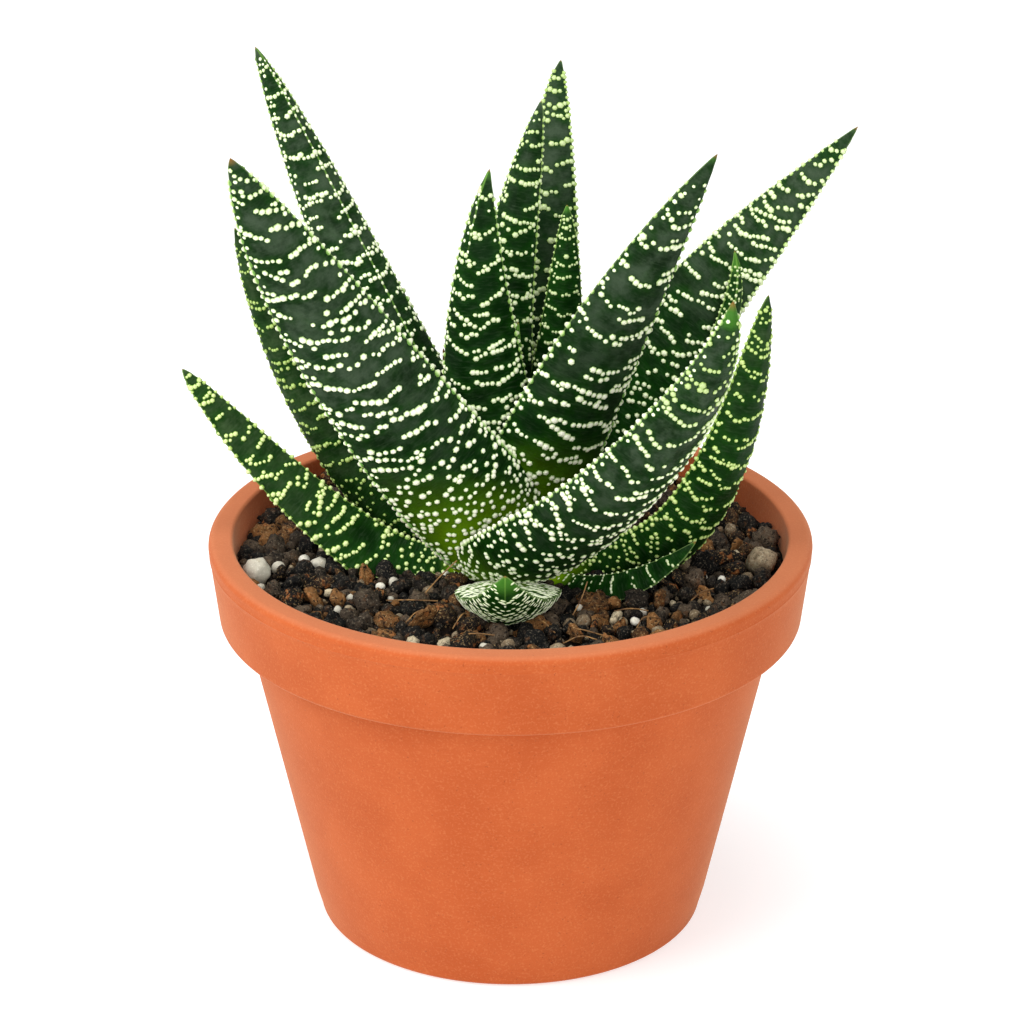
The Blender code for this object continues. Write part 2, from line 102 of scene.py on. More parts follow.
LEAVES = [
    Leaf("bud", (0, -2, 88), (0, -2, 100), (1, 1, 115), (1.5, 2, 125), 5, 3, (90, -20), 1.8, 0.9, 0.5,
         "young", pearl=0.6, pitch=3.4, lines=1, ridge=(0, 0), fresh=8, grey=0.9, tint=0.5),
    Leaf("young_centre", (3, 0, 86), (11, 4, 114), (11, 6, 139), (11, 8, 147), 11, 4, (90, -20), 1.6, 0.8,
         0.7, "young", pearl=0.7, pitch=3.3, lines=1, sag=0.1, fresh=4, grey=0.7, tint=0.35),
    Leaf("young_right", (5, -1, 86), (34, 1, 92), (46, 3, 125), (43.5, 4, 139), 10, 4, (110, -10), 1.7,
         0.8, 0.6, "young", pearl=0.72, pitch=3.2, lines=1.5, sag=0.1, ridge=(0, 0.3), fresh=7, grey=0.7,
         tint=0.35),
    Leaf("dry_tip", (-3, 4, 84), (-8, 9, 90), (-11.5, 13, 104), (-13.4, 14, 115), 7, 3.5, (-30, 10), 2.1,
         0.85, 0.5, "young", pearl=0.7, pitch=3.4, lines=1, dry=6, grey=0.9, tint=0.4),
    Leaf("centre_front", (-1, -4, 85), (-4, -3, 103), (-8.6, -2, 132), (-4, 0, 157), 20, 7, (90, -20),
         1.9, 1, 0.5, "green", flush=4, pearl=1, pitch=5.7, lines=2.4, sag=0.1, ridge=(0.6, 0.75),
         fresh=2.5, grey=0.75, tint=0.25),
    Leaf("centre_middle", (0, 1, 85), (-6, 6, 120), (3, 12, 151), (6, 18, 165), 14, 7, (80, -20), 1.8,
         0.85, 0.5, "green", flush=4, pearl=0.92, pitch=4.9, lines=2, sag=0.1, grey=0.6, tint=0.5),
    Leaf("centre_tall", (2, 5, 83), (8.5, 12, 120), (7, 22, 158), (10, 32, 169), 16, 6, (-90, 20), 1.8,
         0.85, 0.4, "green", flush=4, pearl=1, pitch=4.7, lines=1.8, sag=0.1, tint=0.7, fade=0.4),
    Leaf("inner_right", (2, -1, 81), (0, -2, 87), (18, -10, 130), (39, -12, 164), 24, 7.5, (115, -15),
         2.5, 0.85, 0.5, "green", flush=26, pearl=1.16, pitch=5.6, lines=2.7, sag=0.1, fresh=2, grey=0.45,
         tint=0.05),
    Leaf("far_right", (6, 2, 81), (34, 5, 128), (43.5, 10, 134), (67.3, 11, 162), 19, 6, (-100, 20), 2.3,
         0.85, 0.4, "green", flush=4, pearl=1, lines=1.9, skew=-0.12, tint=0.3),
    Leaf("tall_left", (-5, 4, 82), (-24, 12, 114), (-41.6, 20, 156), (-50, 26, 173.5), 15.8, 7, (85, -20),
         1.9, 0.85, 0.5, "green", pearl=0.95, lines=2.1, sag=0.05, ridge=(-0.62, 0), grey=0.2),
    Leaf("back_middle", (1, 7, 80), (2, 22, 96), (4, 38, 112), (5, 50, 128), 17, 6, (-90, 40), 2, 0.85,
         0.4, "green"),
    Leaf("back_left", (-5, 6, 79), (-14, 18, 88), (-26, 30, 94), (-31, 37, 108), 15, 6, (-60, 40), 2,
         0.85, 0.4, "green"),
    Leaf("back_right", (6, 6, 79), (15, 20, 88), (30, 32, 96), (35, 38, 110), 15, 6, (-120, 40), 2, 0.85,
         0.4, "green"),
    Leaf("outer_left", (-7, 2, 79), (-31, 8, 78), (-49, 12, 123), (-54, 12, 141), 14, 5, (60, -20), 2.2,
         0.85, 0.5, "yellow", pearl=0.78, pitch=4, sag=0.1, grey=0.2, tint=0.8),
    Leaf("outer_right", (8, -4, 78), (41, -10, 69), (46.5, -13, 122), (49.4, -10, 135), 17.5, 6,
         (120, 10), 1.9, 0.85, 0.5, "yellow", flush=5, pearl=0.85, pitch=4.2, lines=2, grey=0.6,
         tint=0.45),
    Leaf("front_left", (1, -7, 83), (-11, -14, 93), (-43, -28, 147), (-51, -36, 171), 24.5, 8, (80, -25),
         2.7, 0.9, 0.5, "green", flush=27, lean=10, pearl=1.2, pitch=4.6, lines=2, sag=0.03, skew=-0.1,
         dry=2, grey=0.25, tint=0.05),
    Leaf("front_right", (-12, -8, 78.5), (8, -24, 81.5), (40, -40, 124.5), (41, -38, 144), 23, 8.5,
         (115, 10), 2.3, 0.15, 0.6, "green", flush=18, lean=-7, pearl=1.08, pitch=4.3, lines=1.9, sag=0.2,
         skew=0.14, dry=2.5, fresh=8, grey=0.25, tint=0.05, fade=3),
    Leaf("low_left", (-9, -6, 77), (-22, -8, 65), (-56, 2, 104), (-65, 9, 112.5), 12, 4.5, (-80, 35), 2.4,
         0.85, 0.4, "yellow", flush=5, pearl=0.94, pitch=4, lines=2.2, sag=0.1, grey=0.4, tint=0),
    Leaf("short_front", (-0.4, -11, 74), (-0.4, -22, 80), (-1, -38, 78.5), (-1, -40, 89.5), 20.8, 8.5,
         (90, 75), 2.6, 0.5, 0.4, "green", flush=12, pearl=0.42, dash=2.8, pitch=0.8, lines=1, sag=0.2,
         ridge=(0, 0.8), dry=0.4, fresh=4, bare=1.4, grey=2, tint=0),
    Leaf("short_right", (7, -9, 75), (16, -20, 74.5), (27, -21, 79), (36, -18, 87), 6.5, 3, (-90, 50),
         2.8, 0.8, 0.4, "green", flush=4, pearl=0.5, dash=1.5, pitch=3.9, lines=1, sag=0.1, grey=0.9,
         tint=0.3),
]
Wart = namedtuple("Wart", "share across on_back width green")

# Number layers that a leaf's mesh carries for its skin to read
SKIN_LAYERS = ("flush", "pale_foot", "beside", "ridged", "from_margin", "dry", "fresh", "run", "side",
               "upper", "by_wart")

# Beads in mm: on a ridge line as they are, as a tooth on a margin times the tooth's own size
RIDGE_BEAD = (0.5, 0.75, 0.5)
TOOTH = (1.15, 1.0, 1.35)

# The kinds of grit. finish is its material's name, dark and light shades, stain and its share, fleck
# and its share, the width of its pores in mm and their share, which sets how deep they go and how dark
# they are painted as the shade in them. squash is its least and most size along an axis over its
# width, and rough how deep it crumbles. A strewn grain is of the last kind whose draw it passes and
# whose widest, in metres, it stays under. stones are those that can be picked out: x, y and width in mm.
Grit = namedtuple("Grit", "finish squash rough draw widest stones")
GRITS = {
    # Expanded clay and lava crumbs: charcoal to umber, rough and pored, with pale grains
    "lump": Grit(
        ("scorched_grit", "#030302", "#564839", "#6a4424", 0.4, "#968a76", 0.5, 0.6, 1.0),
        (0.65, 1.25), 1.0, -1.0, 1.0,
        [(-28, -24.5, 4.8), (-31, -29.5, 3.4), (-29.5, -35, 4.6), (-42.5, -15, 3.8), (24.5, -24, 4.4),
         (34, -20.5, 3.8), (38, -6, 4.6), (45, -16, 4.6), (48, 14, 4)]),
    # Composted pine bark: brown, fibrous, orange where it is freshly broken
    "bark": Grit(
        ("pine_bark", "#0e0704", "#80572f", "#b06a34", 0.55, "#d2b07a", 0.5, 0.8, 1.0),
        (0.35, 1.6), 1.0, 0.66, 1.0,
        [(-42.5, -23, 4), (-38.5, -21.5, 4.2), (-24, -38.5, 3.4), (-17, -32.5, 4.6), (-8, -35.5, 3.8),
         (-33.5, -10.5, 2.8), (33.5, -13, 3.4), (20, -24.5, 4.6), (29, -23.5, 4), (12.5, -39, 4.6),
         (47, 2, 2.8), (27.5, -33, 3), (18.5, -36, 3.4)]),
    # Pumice: tan to grey froth of volcanic glass, stained by the peat round it
    "pumice": Grit(
        ("pumice_stone", "#7a6850", "#cdbd9c", "#7c5430", 0.5, "#e0d5b8", 0.5, 0.6, 0.6),
        (0.7, 1.2), 0.8, 0.87, 0.0028,
        [(-12.5, -41.5, 3.2), (-18.5, -42, 3), (-35.5, -18, 2.4), (-16, -17.5, 2.2), (-0.5, -43, 3.4),
         (35, -5.5, 3), (20.5, -28.5, 2.4), (14, -31.5, 2.6), (35.5, -29, 2.6), (28.5, -36.5, 3.2),
         (9, -44.5, 3.2), (46.5, -11, 2.8), (49.5, -5.5, 6), (44.5, 11.5, 3), (23, -42, 2.4)]),
    # Perlite: popped volcanic glass, white and chalky, its hollows painted soft grey as their shade
    "perlite": Grit(
        ("expanded_perlite", "#bdb7a6", "#ebe6d6", "#a8906a", 0.35, "#f2efe4", 0.4, 1.4, 0.12),
        (0.8, 1.1), 0.4, 0.975, 0.002,
        [(-50, -9.5, 5.2), (-49, -15, 2.6), (-46, -6.5, 2.8), (-41, -2, 2.6), (-38, -5.5, 3.4),
         (-23, -13, 2.4), (-25.5, -15, 2), (-31, -20.5, 2), (-33.5, -25.5, 2), (-5, -44, 2.4),
         (3, -46, 2.4), (13.5, -24.5, 2), (25.5, -28, 2), (24, -31.5, 2), (38.5, -26, 2),
         (41.5, -12, 2), (35.5, -33, 2.2)]),
}

# Grains wider than this, in metres, get finer facets than the rest
LARGE_GRAIN = 0.0035

# Dry roots and splinters that lie on the soil, each through three points in mm
FIBRES = [
    ((-16.6, -21.5, 77.5), (-13.6, -20, 80.5), (-10.4, -19.5, 83.6)),
    ((12, -30.5, 77), (13.6, -29, 79.6), (14.8, -28.2, 83)),
    ((35, -25, 77.6), (37, -23.4, 78.6), (39.5, -21.6, 78.6)),
    ((2.5, -33, 76.5), (5.5, -35, 78), (8.5, -39, 77.2)),
    ((11, -38, 77.6), (13.6, -40.2, 78.4), (17.5, -40.6, 77.4)),
    ((10, -45, 77.8), (13.4, -43.6, 78.6), (16.4, -43.8, 78)),
    ((-24, -25, 77.6), (-19, -26.8, 78.5), (-14, -26.2, 78)),
    ((-20, -35, 77.5), (-17.4, -32.4, 78.8), (-14, -31.6, 78.2)),
    ((-11, -38, 77.6), (-9.6, -35.4, 78.9), (-8.8, -32.2, 78.2)),
    ((-9.4, -41, 77.6), (-6.8, -42.6, 78.7), (-3, -41.8, 78)),
    ((24, -38, 77.6), (25.6, -35, 78.6), (28.8, -33.4, 77.6)),
    ((20, -30, 77.6), (23, -31, 78.6), (26.5, -29.8, 77.6)),
    ((-44, 10, 77), (-40, 14, 79.4), (-35, 15, 77.4)),
    ((30, 22, 77), (26, 27, 79.6), (20, 29, 77.2)),
    ((-8, 40, 77), (-2, 43, 79), (6, 42, 77.2)),
]

# The stem's section as radius and height; a root's start and end the same way, and its two radii, in mm
STEM = [(0, 58), (2, 59), (4, 64), (6, 68), (6, 76), (4, 86), (2, 91), (0, 92)]
ROOT = ((2.2, 64), (6.1, 42.5), (1.5, 0.4))


def linear(code):
    """An sRGB hex colour as linear red, green, blue and alpha."""
    parts = [int(code[place:place + 2], 16) / 255.0 for place in (1, 3, 5)]
    return tuple(p / 12.92 if p <= 0.04045 else ((p + 0.055) / 1.055) ** 2.4 for p in parts) + (1.0,)


def fill(tree, node, inputs):
    """Gives a node's inputs their values or links."""
    for key, value in inputs.items():
        if isinstance(value, bpy.types.NodeSocket):
            tree.links.new(value, node.inputs[key])
        else:
            node.inputs[key].default_value = value


def add_node(tree, kind, inputs=None, out=0, **settings):
    """Adds a node with its settings and inputs, and gives the output that is asked for."""
    node = tree.nodes.new(kind)
    for name, value in settings.items():
        setattr(node, name, value)
    fill(tree, node, inputs or {})
    return node.outputs[out] if node.outputs else None


def grain(tree, size_mm, detail=2.0, roughness=0.5, stretch=(1.0, 1.0, 1.0)):
    """Noise whose lumps are about size_mm across, in the piece's own space."""
    place = add_node(tree, "ShaderNodeTexCoord", out="Object")
    place = add_node(tree, "ShaderNodeMapping", {"Vector": place, "Scale": stretch})
    return add_node(tree, "ShaderNodeTexNoise", {"Vector": place, "Scale": 1.0 / (size_mm * MM),
                                                 "Detail": detail, "Roughness": roughness})


def coated(tree, colour, coats):
    """A colour with coats over it, each of a share and a code. A share that comes with a span, from
    start to end, is eased over it, to nought and one or to the two shares that follow."""
    for share, span, code in coats:
        if span:
            share = add_node(tree, "ShaderNodeMapRange", dict(enumerate((share, *span))),
                             interpolation_type="SMOOTHSTEP")
        colour = add_node(tree, "ShaderNodeMix", {0: share, 6: colour, 7: linear(code)}, 2,
                          data_type="RGBA")
    return colour


def new_material(name):
    """A material with nodes, and its tree."""
    material = bpy.data.materials.new(name)
    material.use_nodes = True
    return material, material.node_tree


def finished(material, inputs, height=None, depth_mm=0.0, strength=1.0):
    """Fills the material's Principled shader; height is relief that is depth_mm deep."""
    tree = material.node_tree
    if height is not None:
        relief = {"Strength": strength, "Distance": depth_mm * MM, "Height": height}
        inputs["Normal"] = add_node(tree, "ShaderNodeBump", relief)
    fill(tree, tree.nodes["Principled BSDF"], inputs)
    return material


def fired_clay():
    """Unglazed terracotta, thrown and fired: matt, finely pitted with the pits painted darker as their shade,
    its edges paled by a dusty sheen and its rim top painted paler, partly as dust and partly as painted light
    from above.
    """
    material, tree = new_material("fired_clay")
    pits_painted_dark = add_node(tree, "ShaderNodeMapRange", {0: grain(tree, 0.5, 1.0), 1: 0.22, 2: 0.32, 3: 0.8, 4: 0.0},
                    interpolation_type="SMOOTHSTEP")
    place = add_node(tree, "ShaderNodeTexCoord", out="Object")
    height = add_node(tree, "ShaderNodeSeparateXYZ", {0: place}, "Z")
    colour = coated(tree, linear("#ad5128"), [
        (grain(tree, 16.0, 3.0), (0.3, 0.7), "#b6592e"),
        (grain(tree, 4.0, 3.0, 0.6, (1.0, 1.0, 5.0)), (0.5, 0.8, 0.0, 0.3), "#be6339"),
        (grain(tree, 0.45), (0.5, 0.72, 0.0, 0.25), "#cd8052"),
        # the pits are painted darker, as the shade that falls in them
        (pits_painted_dark, None, "#964624"),
        # the rim's top is painted paler: partly dust, partly painted light where it faces the light from
        # above
        (height, (RIM_HEIGHT - 0.9 * MM, RIM_HEIGHT - 0.1 * MM, 0.0, 0.35), "#c48460"),
    ])
    skin = add_node(tree, "ShaderNodeMath", {0: pits_painted_dark, 1: -0.6, 2: grain(tree, 0.35)},
                    operation="MULTIPLY_ADD")
    return finished(material, {
        "Base Color": colour, "Roughness": 0.9, "Specular IOR Level": 0.1, "Sheen Weight": 0.32,
        "Sheen Roughness": 0.4, "Sheen Tint": linear("#ffd8b0")}, skin, 0.1, 0.5)


def damp_humus():
    """Crumbly peat and fine grit between the stones: near black, rough, with brown crumbs."""
    material, tree = new_material("damp_humus")
    colour = coated(tree, linear("#060403"), [(grain(tree, 1.6, 4.0, 0.7), (0.4, 0.7), "#1e140c")])
    return finished(material, {"Base Color": colour, "Roughness": 0.95, "Specular IOR Level": 0.1},
                    grain(tree, 0.8, 4.0, 0.7), 0.8)


def stony(name, dark, light, stain, stain_share, fleck, fleck_share, pore_mm, pore_share):
    """A grit's material: two shades by grain and by noise, stained, flecked and finely pored, its pores
    painted dark as the shade in them.
    """
    material, tree = new_material(name)
    shade = add_node(tree, "ShaderNodeAttribute", out="Fac", attribute_name="shade")
    mixed = add_node(tree, "ShaderNodeMath", {0: grain(tree, 1.6, 4.0, 0.7), 1: 0.9, 2: shade},
                     operation="MULTIPLY_ADD")
    pores_painted_dark = grain(tree, pore_mm, 3.0, 0.75)
    colour = coated(tree, linear(dark), [
        (mixed, (0.55, 1.4), light),
        (grain(tree, 2.2, 3.0, 0.65), (0.56, 0.68, 0.0, stain_share), stain),
        (grain(tree, 0.42, 3.0, 0.7), (0.54, 0.68, 0.0, fleck_share), fleck),
        # the pores are painted dark, as the shade that falls in them
        (pores_painted_dark, (0.36, 0.48, pore_share, 0.0), "#060403"),
    ])
    return finished(material, {"Base Color": colour, "Roughness": 0.75, "Specular IOR Level": 0.2},
                    pores_painted_dark, 0.15 + 0.35 * pore_share)


def dry_root():
    """Dead root and splinter: pale tan, fibrous, a little shiny."""
    material, tree = new_material("dry_root")
    colour = coated(tree, linear("#4e3218"), [(grain(tree, 1.5, 3.0), (0.3, 0.7), "#a87d46")])
    return finished(material, {"Base Color": colour, "Roughness": 0.7}, grain(tree, 0.4), 0.1)


def leaf_skin(name, deep, middle, bloom_and_painted_sheen, margin):
    """Succulent leaf skin: waxy and dark, greyed between the warts on its upper part by a bloom that is
    partly wax and partly painted sheen and painted light, yellow-green low down.
    """
    material, tree = new_material(name)
    layer = {label: add_node(tree, "ShaderNodeAttribute", out="Fac", attribute_name=label)
             for label in SKIN_LAYERS}
    along = add_node(tree, "ShaderNodeCombineXYZ", {0: layer["run"], 1: layer["side"]})
    along = add_node(tree, "ShaderNodeMapping", {"Vector": along, "Scale": (2.6, 0.5, 1.0)})
    layer["grooves"] = add_node(tree, "ShaderNodeTexNoise", {"Vector": along, "Scale": 1.0, "Detail": 3.0,
                                                             "Distortion": 0.4})
    layer["fine"] = grain(tree, 0.5, 3.0, 0.6)
    layer["mottle"] = grain(tree, 4.0, 3.0)
    for label, operation, *values in (
            ("vivid", "MULTIPLY", "by_wart", 0.3),
            ("clear", "MULTIPLY_ADD", "by_wart", -0.6, 1.0),
            ("clear", "MULTIPLY", "clear", "upper"),
            ("least_bloom_and_painted_sheen", "MULTIPLY", "clear", 0.1),
            ("most_bloom_and_painted_sheen", "MULTIPLY", "clear", 0.95),
            ("uneven", "MULTIPLY_ADD", "mottle", 0.5, "flush"),
            ("yellow", "POWER", "flush", 1.9),
            ("beside", "ABSOLUTE", "beside"),
            ("ridged", "MULTIPLY", "ridged", 0.6),
            ("relief", "ADD", "fine", "grooves")):
        inputs = {place: layer.get(value, value) for place, value in enumerate(values)}
        layer[label] = add_node(tree, "ShaderNodeMath", inputs, operation=operation)
    colour = coated(tree, linear(deep), [
        (grain(tree, 9.0, 3.0), (0.3, 0.7), middle),
        (layer["vivid"], None, "#205c10"),
        # grey bloom: partly wax, partly painted sheen and painted light where the upper leaf faces the lamps;
        # none near the warts
        (grain(tree, 5.0, 4.0, 0.65), (0.36, 0.66, layer["least_bloom_and_painted_sheen"], layer["most_bloom_and_painted_sheen"]), bloom_and_painted_sheen),
        (layer["grooves"], (0.45, 0.75, 0.0, 0.16), "#506449"),
        (layer["fresh"], None, "#48802a"),
        (layer["uneven"], (0.22, 0.95), "#2a6008"),
        (layer["yellow"], None, "#a6cc0a"),
        (layer["pale_foot"], None, "#b4bc70"),
        (layer["beside"], (0.05, 0.22, layer["ridged"], 0.0), "#6d9a40"),
        (layer["from_margin"], (0.03, 0.2, 0.5, 0.0), margin),
        (layer["dry"], None, "#8a5e30"),
    ])
    gloss = add_node(tree, "ShaderNodeMapRange", {0: layer["mottle"], 1: 0.3, 2: 0.7, 3: 0.36, 4: 0.5},
                     interpolation_type="SMOOTHSTEP")
    return finished(material, {"Base Color": colour, "Roughness": gloss, "IOR": 1.42,
                               "Specular IOR Level": 0.03}, layer["relief"], 0.06)


def pearl_wart(name, rim, crown, shade):
    """Raised white warts: smooth, dry and opaque, green where they rise out of the skin."""
    material, tree = new_material(name)
    rise, green = (add_node(tree, "ShaderNodeAttribute", out="Fac", attribute_name=label)
                   for label in ("rise", "green"))
    # green mixes the warts towards a darker green, partly their own colour and partly painted shade on leaves
    # further from the light
    greener = add_node(tree, "ShaderNodeMath", {0: green, 1: 0.8}, operation="MULTIPLY")
    colour = coated(tree, linear(rim), [
        (rise, (0.0, 0.4), crown),
        (rise, (-0.5, 0.05, 1.0, 0.0), shade),
        (greener, None, "#9dbb5a"),
    ])
    return finished(material, {"Base Color": colour, "Roughness": 0.5, "IOR": 1.42})


def white_sweep():
    """Matt white studio paper, lit from behind so that shadows on it stay faint."""
    return finished(new_material("white_sweep")[0], {
        "Base Color": linear("#cecece"), "Emission Color": linear("#ffffff"), "Emission Strength": 0.56,
        "Roughness": 0.9, "Specular IOR Level": 0.0})


def add_piece(name, mesh, material, slot, *nodes):
    """Puts a finished mesh in the scene as a piece that rides on the body and stands for nodes."""
    piece = bpy.data.objects.new(name, mesh)
    bpy.context.scene.collection.objects.link(piece)
    mesh.materials.clear()
    mesh.materials.append(material)
    if nodes:
        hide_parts(*nodes)
    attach(piece, "root")


def finish_mesh(bm, name, angle):
    """A mesh of what bmesh holds: faces outwards, smooth up to an angle in degrees."""
    bmesh.ops.recalc_face_normals(bm, faces=bm.faces)
    mesh = bpy.data.meshes.new(name)
    bm.to_mesh(mesh)
    bm.free()
    mesh.shade_smooth()
    mesh.set_sharp_from_angle(angle=math.radians(angle))
    return mesh


def arc(centre, radius, start, end, steps):
    """Points (r, z) along a round stretch of a turned profile, angles in degrees."""
    angles = [math.radians(start + (end - start) * step / steps) for step in range(steps + 1)]
    return [(centre[0] + radius * math.cos(a), centre[1] + radius * math.sin(a)) for a in angles]


def turned(profile, segments, closed):
    """A turned solid in bmesh. A closed profile is a ring's section; an open one meets the axis."""
    bm = bmesh.new()
    rings = []
    for radius, height in profile:
        angles = [2.0 * math.pi * index / segments for index in range(segments if radius else 1)]
        rings.append([bm.verts.new((radius * math.cos(a), radius * math.sin(a), height)) for a in angles])
    if closed:
        rings.append(rings[0])
    for lower, upper in zip(rings, rings[1:]):
        for index in range(segments):
            after = (index + 1) % segments
            corners = [lower[index % len(lower)], lower[after % len(lower)],
                       upper[after % len(upper)], upper[index % len(upper)]]
            bm.faces.new(list(dict.fromkeys(corners)))
    return bm


def inner_wall_radius(pot, height):
    """Radius of the pot's inside at a height, as in the solid pot."""
    if height < pot.collar_bottom:
        slope = (pot.body_radius - pot.foot_radius) / pot.collar_bottom
        return pot.foot_radius + slope * height - pot.wall
    step = pot.body_radius - pot.wall
    lip_foot = pot.rim_height - pot.lip_rounding
    share = (height - pot.collar_bottom) / (lip_foot - pot.collar_bottom)
    return step + (pot.rim_radius - pot.lip - step) * math.sin(share * math.pi / 2.0) ** 0.5


def number(name, description, default, **limits):
    """A number that a user can change, with its unit, subtype or limits."""
    return FloatProperty(name=name, description=description, default=default, **limits)


def metres(name, description, default):
    """A length that a user can change."""
    return number(name, description, default, unit="LENGTH")


def factor(name, description, default):
    """A share from nought to one that a user can change."""
    return number(name, description, default, subtype="FACTOR", min=0.0, max=1.0)


def count(name, description, default, least=0):
    """A whole number that a user can change."""
    return IntProperty(name=name, description=description, default=default, min=least)


class GasteraloePotSettings(bpy.types.PropertyGroup):
    rim_radius: metres("Rim Radius", "Outside radius of the rim", RIM_RADIUS)
    rim_height: metres("Rim Height", "Height of the pot", RIM_HEIGHT)
    lip: metres("Lip", "Thickness of the rim", 0.0049)
    lip_rounding: metres("Lip Rounding", "Radius of the rim's edges", 0.0016)
    collar_radius: metres("Collar Radius", "Radius at the collar's lower edge", 0.0582)
    collar_bottom: metres("Collar Bottom", "Height of the collar's lower edge", 0.0645)
    seam_height: metres("Seam Height", "Height of the mould line on the collar", 0.0783)
    body_radius: metres("Body Radius", "Radius under the collar", 0.0532)
    foot_radius: metres("Foot Radius", "Radius of the foot", 0.039)
    wall: metres("Wall", "Thickness of the wall", 0.0046)
    floor: metres("Floor", "Thickness of the pot's floor", 0.006)
    drain_radius: metres("Drain Radius", "Radius of the drain hole", 0.006)
    segments: count("Segments", "Sides round the pot", 200, 24)


class GasteraloeSoilSettings(bpy.types.PropertyGroup):
    level: metres("Level", "Height of the soil", 0.075)
    lumpiness: metres("Lumpiness", "How far the soil's top rises and dips", 0.0012)
    coarse: metres("Coarse", "Width of the largest lumps", 0.0043)
    fine: metres("Fine", "Width of the smallest lumps", 0.0009)
    crumbling: factor("Crumbling", "Depth of a lump's hollows over its width", 0.62)
    fibre: metres("Fibre", "Thickness of the dry roots on top", 0.00026)
    seed: count("Seed", "Seed for the grit's places and shapes", 11)


class GasteraloeLeafSettings(bpy.types.PropertyGroup):
    rings: count("Rings", "Rings along a leaf", 96, 12)
    back_sides: count("Back Sides", "Faces across a leaf's back", 24, 4)
    inner_sides: count("Inner Sides", "Faces across a leaf's inner side", 14, 4)
    wart_height: metres("Wart Height", "How far a wart 1 mm wide stands out", 0.00028)
    swelling: metres("Swelling", "How far the skin swells under the warts", 0.00022)
    wart_sides: count("Wart Sides", "Sides of a wart", 6, 5)
    size_spread: factor("Size Spread", "How much warts differ in size", 0.14)
    tooth_pitch: metres("Tooth Pitch", "Spacing of the teeth on the margins", 0.0016)
    seed: count("Seed", "Seed for the warts", 5)


class GasteraloeStageSettings(bpy.types.PropertyGroup):
    eye: FloatVectorProperty(name="Eye", description="Place of the camera", subtype="TRANSLATION",
                             unit="LENGTH", default=(0.0003, -0.73392, 0.39987))
    pitch: number("Pitch", "How far the camera looks down", math.radians(23.188), unit="ROTATION")
    lens: number("Lens", "Focal length in millimetres", 141.43)
    key_watts: number("Key Watts", "Power of the main light", 14.0)
    fill_watts: number("Fill Watts", "Power of the fill light", 7.0)
    top_watts: number("Top Watts", "Power of the light overhead", 11.0)
    sky: number("Sky", "Brightness of the white surroundings", 0.5)


def pot_profile(pot):
    """The pot's section from the drain hole round the outside and back down the inside."""
    edge, foot_rounding, seam = 1.0 * MM, 1.2 * MM, 0.12 * MM
    points = [(pot.drain_radius, 0.0)]
    points += arc((pot.foot_radius - foot_rounding, foot_rounding), foot_rounding, -90, 0, 6)
    for share in (step / 12.0 for step in range(1, 13)):
        radius = pot.foot_radius + (pot.body_radius - pot.foot_radius) * share
        points.append((radius, pot.collar_bottom * share))
    points += arc((pot.collar_radius - edge, pot.collar_bottom + edge), edge, -90, 0, 6)
    outside = pot.rim_radius - seam
    for offset, out in ((-0.0012, 0.0), (-0.0003, 0.0), (0.0, seam), (0.0003, 0.0)):
        height = pot.seam_height + offset
        share = (height - pot.collar_bottom) / (pot.rim_height - pot.collar_bottom)
        radius = pot.collar_radius + (outside - pot.collar_radius) * min(share * 1.15, 1.0)
        points.append((radius + out, height))
    lip_foot = pot.rim_height - pot.lip_rounding
    points += arc((pot.rim_radius - pot.lip_rounding, lip_foot), pot.lip_rounding, 0, 90, 8)
    inner_edge = pot.lip_rounding * 0.45
    corner = (pot.rim_radius - pot.lip + inner_edge, pot.rim_height - inner_edge)
    points += arc(corner, inner_edge, 90, 180, 6)
    heights = [lip_foot - 1.5 * MM * step for step in range(1, 10)]
    heights += [pot.collar_bottom, pot.collar_bottom * 0.5, pot.floor]
    points += [(inner_wall_radius(pot, height), height) for height in heights]
    return points + [(pot.drain_radius, pot.floor)]


class GASTERALOE_OT_pot(bpy.types.Operator):
    """Turn the clay pot"""
    bl_idname = "gasteraloe.pot"
    bl_label = "Clay Pot"

    def execute(self, context):
        pot = context.scene.gasteraloe_pot
        mesh = finish_mesh(turned(pot_profile(pot), pot.segments, closed=True), "clay_pot", 40)
        add_piece("clay_pot", mesh, fired_clay(), "terracotta", "pot")
        return {"FINISHED"}


def soil_height(soil, x, y):
    """Height of the soil's top at a place, gently uneven."""
    swell = noise.noise((x * 90.0, y * 90.0, 3.0)) * 0.6 + noise.noise((x * 260.0, y * 260.0, 9.0)) * 0.4
    return soil.level + swell * soil.lumpiness


class GASTERALOE_OT_soil(bpy.types.Operator):
    """Fill the pot with its bed of fine, dark soil"""
    bl_idname = "gasteraloe.soil"
    bl_label = "Soil Bed"

    def execute(self, context):
        pot, soil = context.scene.gasteraloe_pot, context.scene.gasteraloe_soil
        heights = (SOIL_BOTTOM, pot.collar_bottom - CLEARANCE, pot.collar_bottom + 3.0 * MM, soil.level)
        wall = [(inner_wall_radius(pot, height) - CLEARANCE, height) for height in heights]
        edge = wall.pop()[0]
        top = [(edge * step / 40.0, soil.level) for step in range(40, -1, -1)]
        bm = turned([(0.0, SOIL_BOTTOM)] + wall + top, 120, closed=False)
        for vert in bm.verts:
            if vert.co.z > soil.level - 1e-6:
                vert.co.z = soil_height(soil, vert.co.x, vert.co.y)
        add_piece("soil_bed", finish_mesh(bm, "soil_bed", 60), damp_humus(), "potting_mix", "soil")
        return {"FINISHED"}


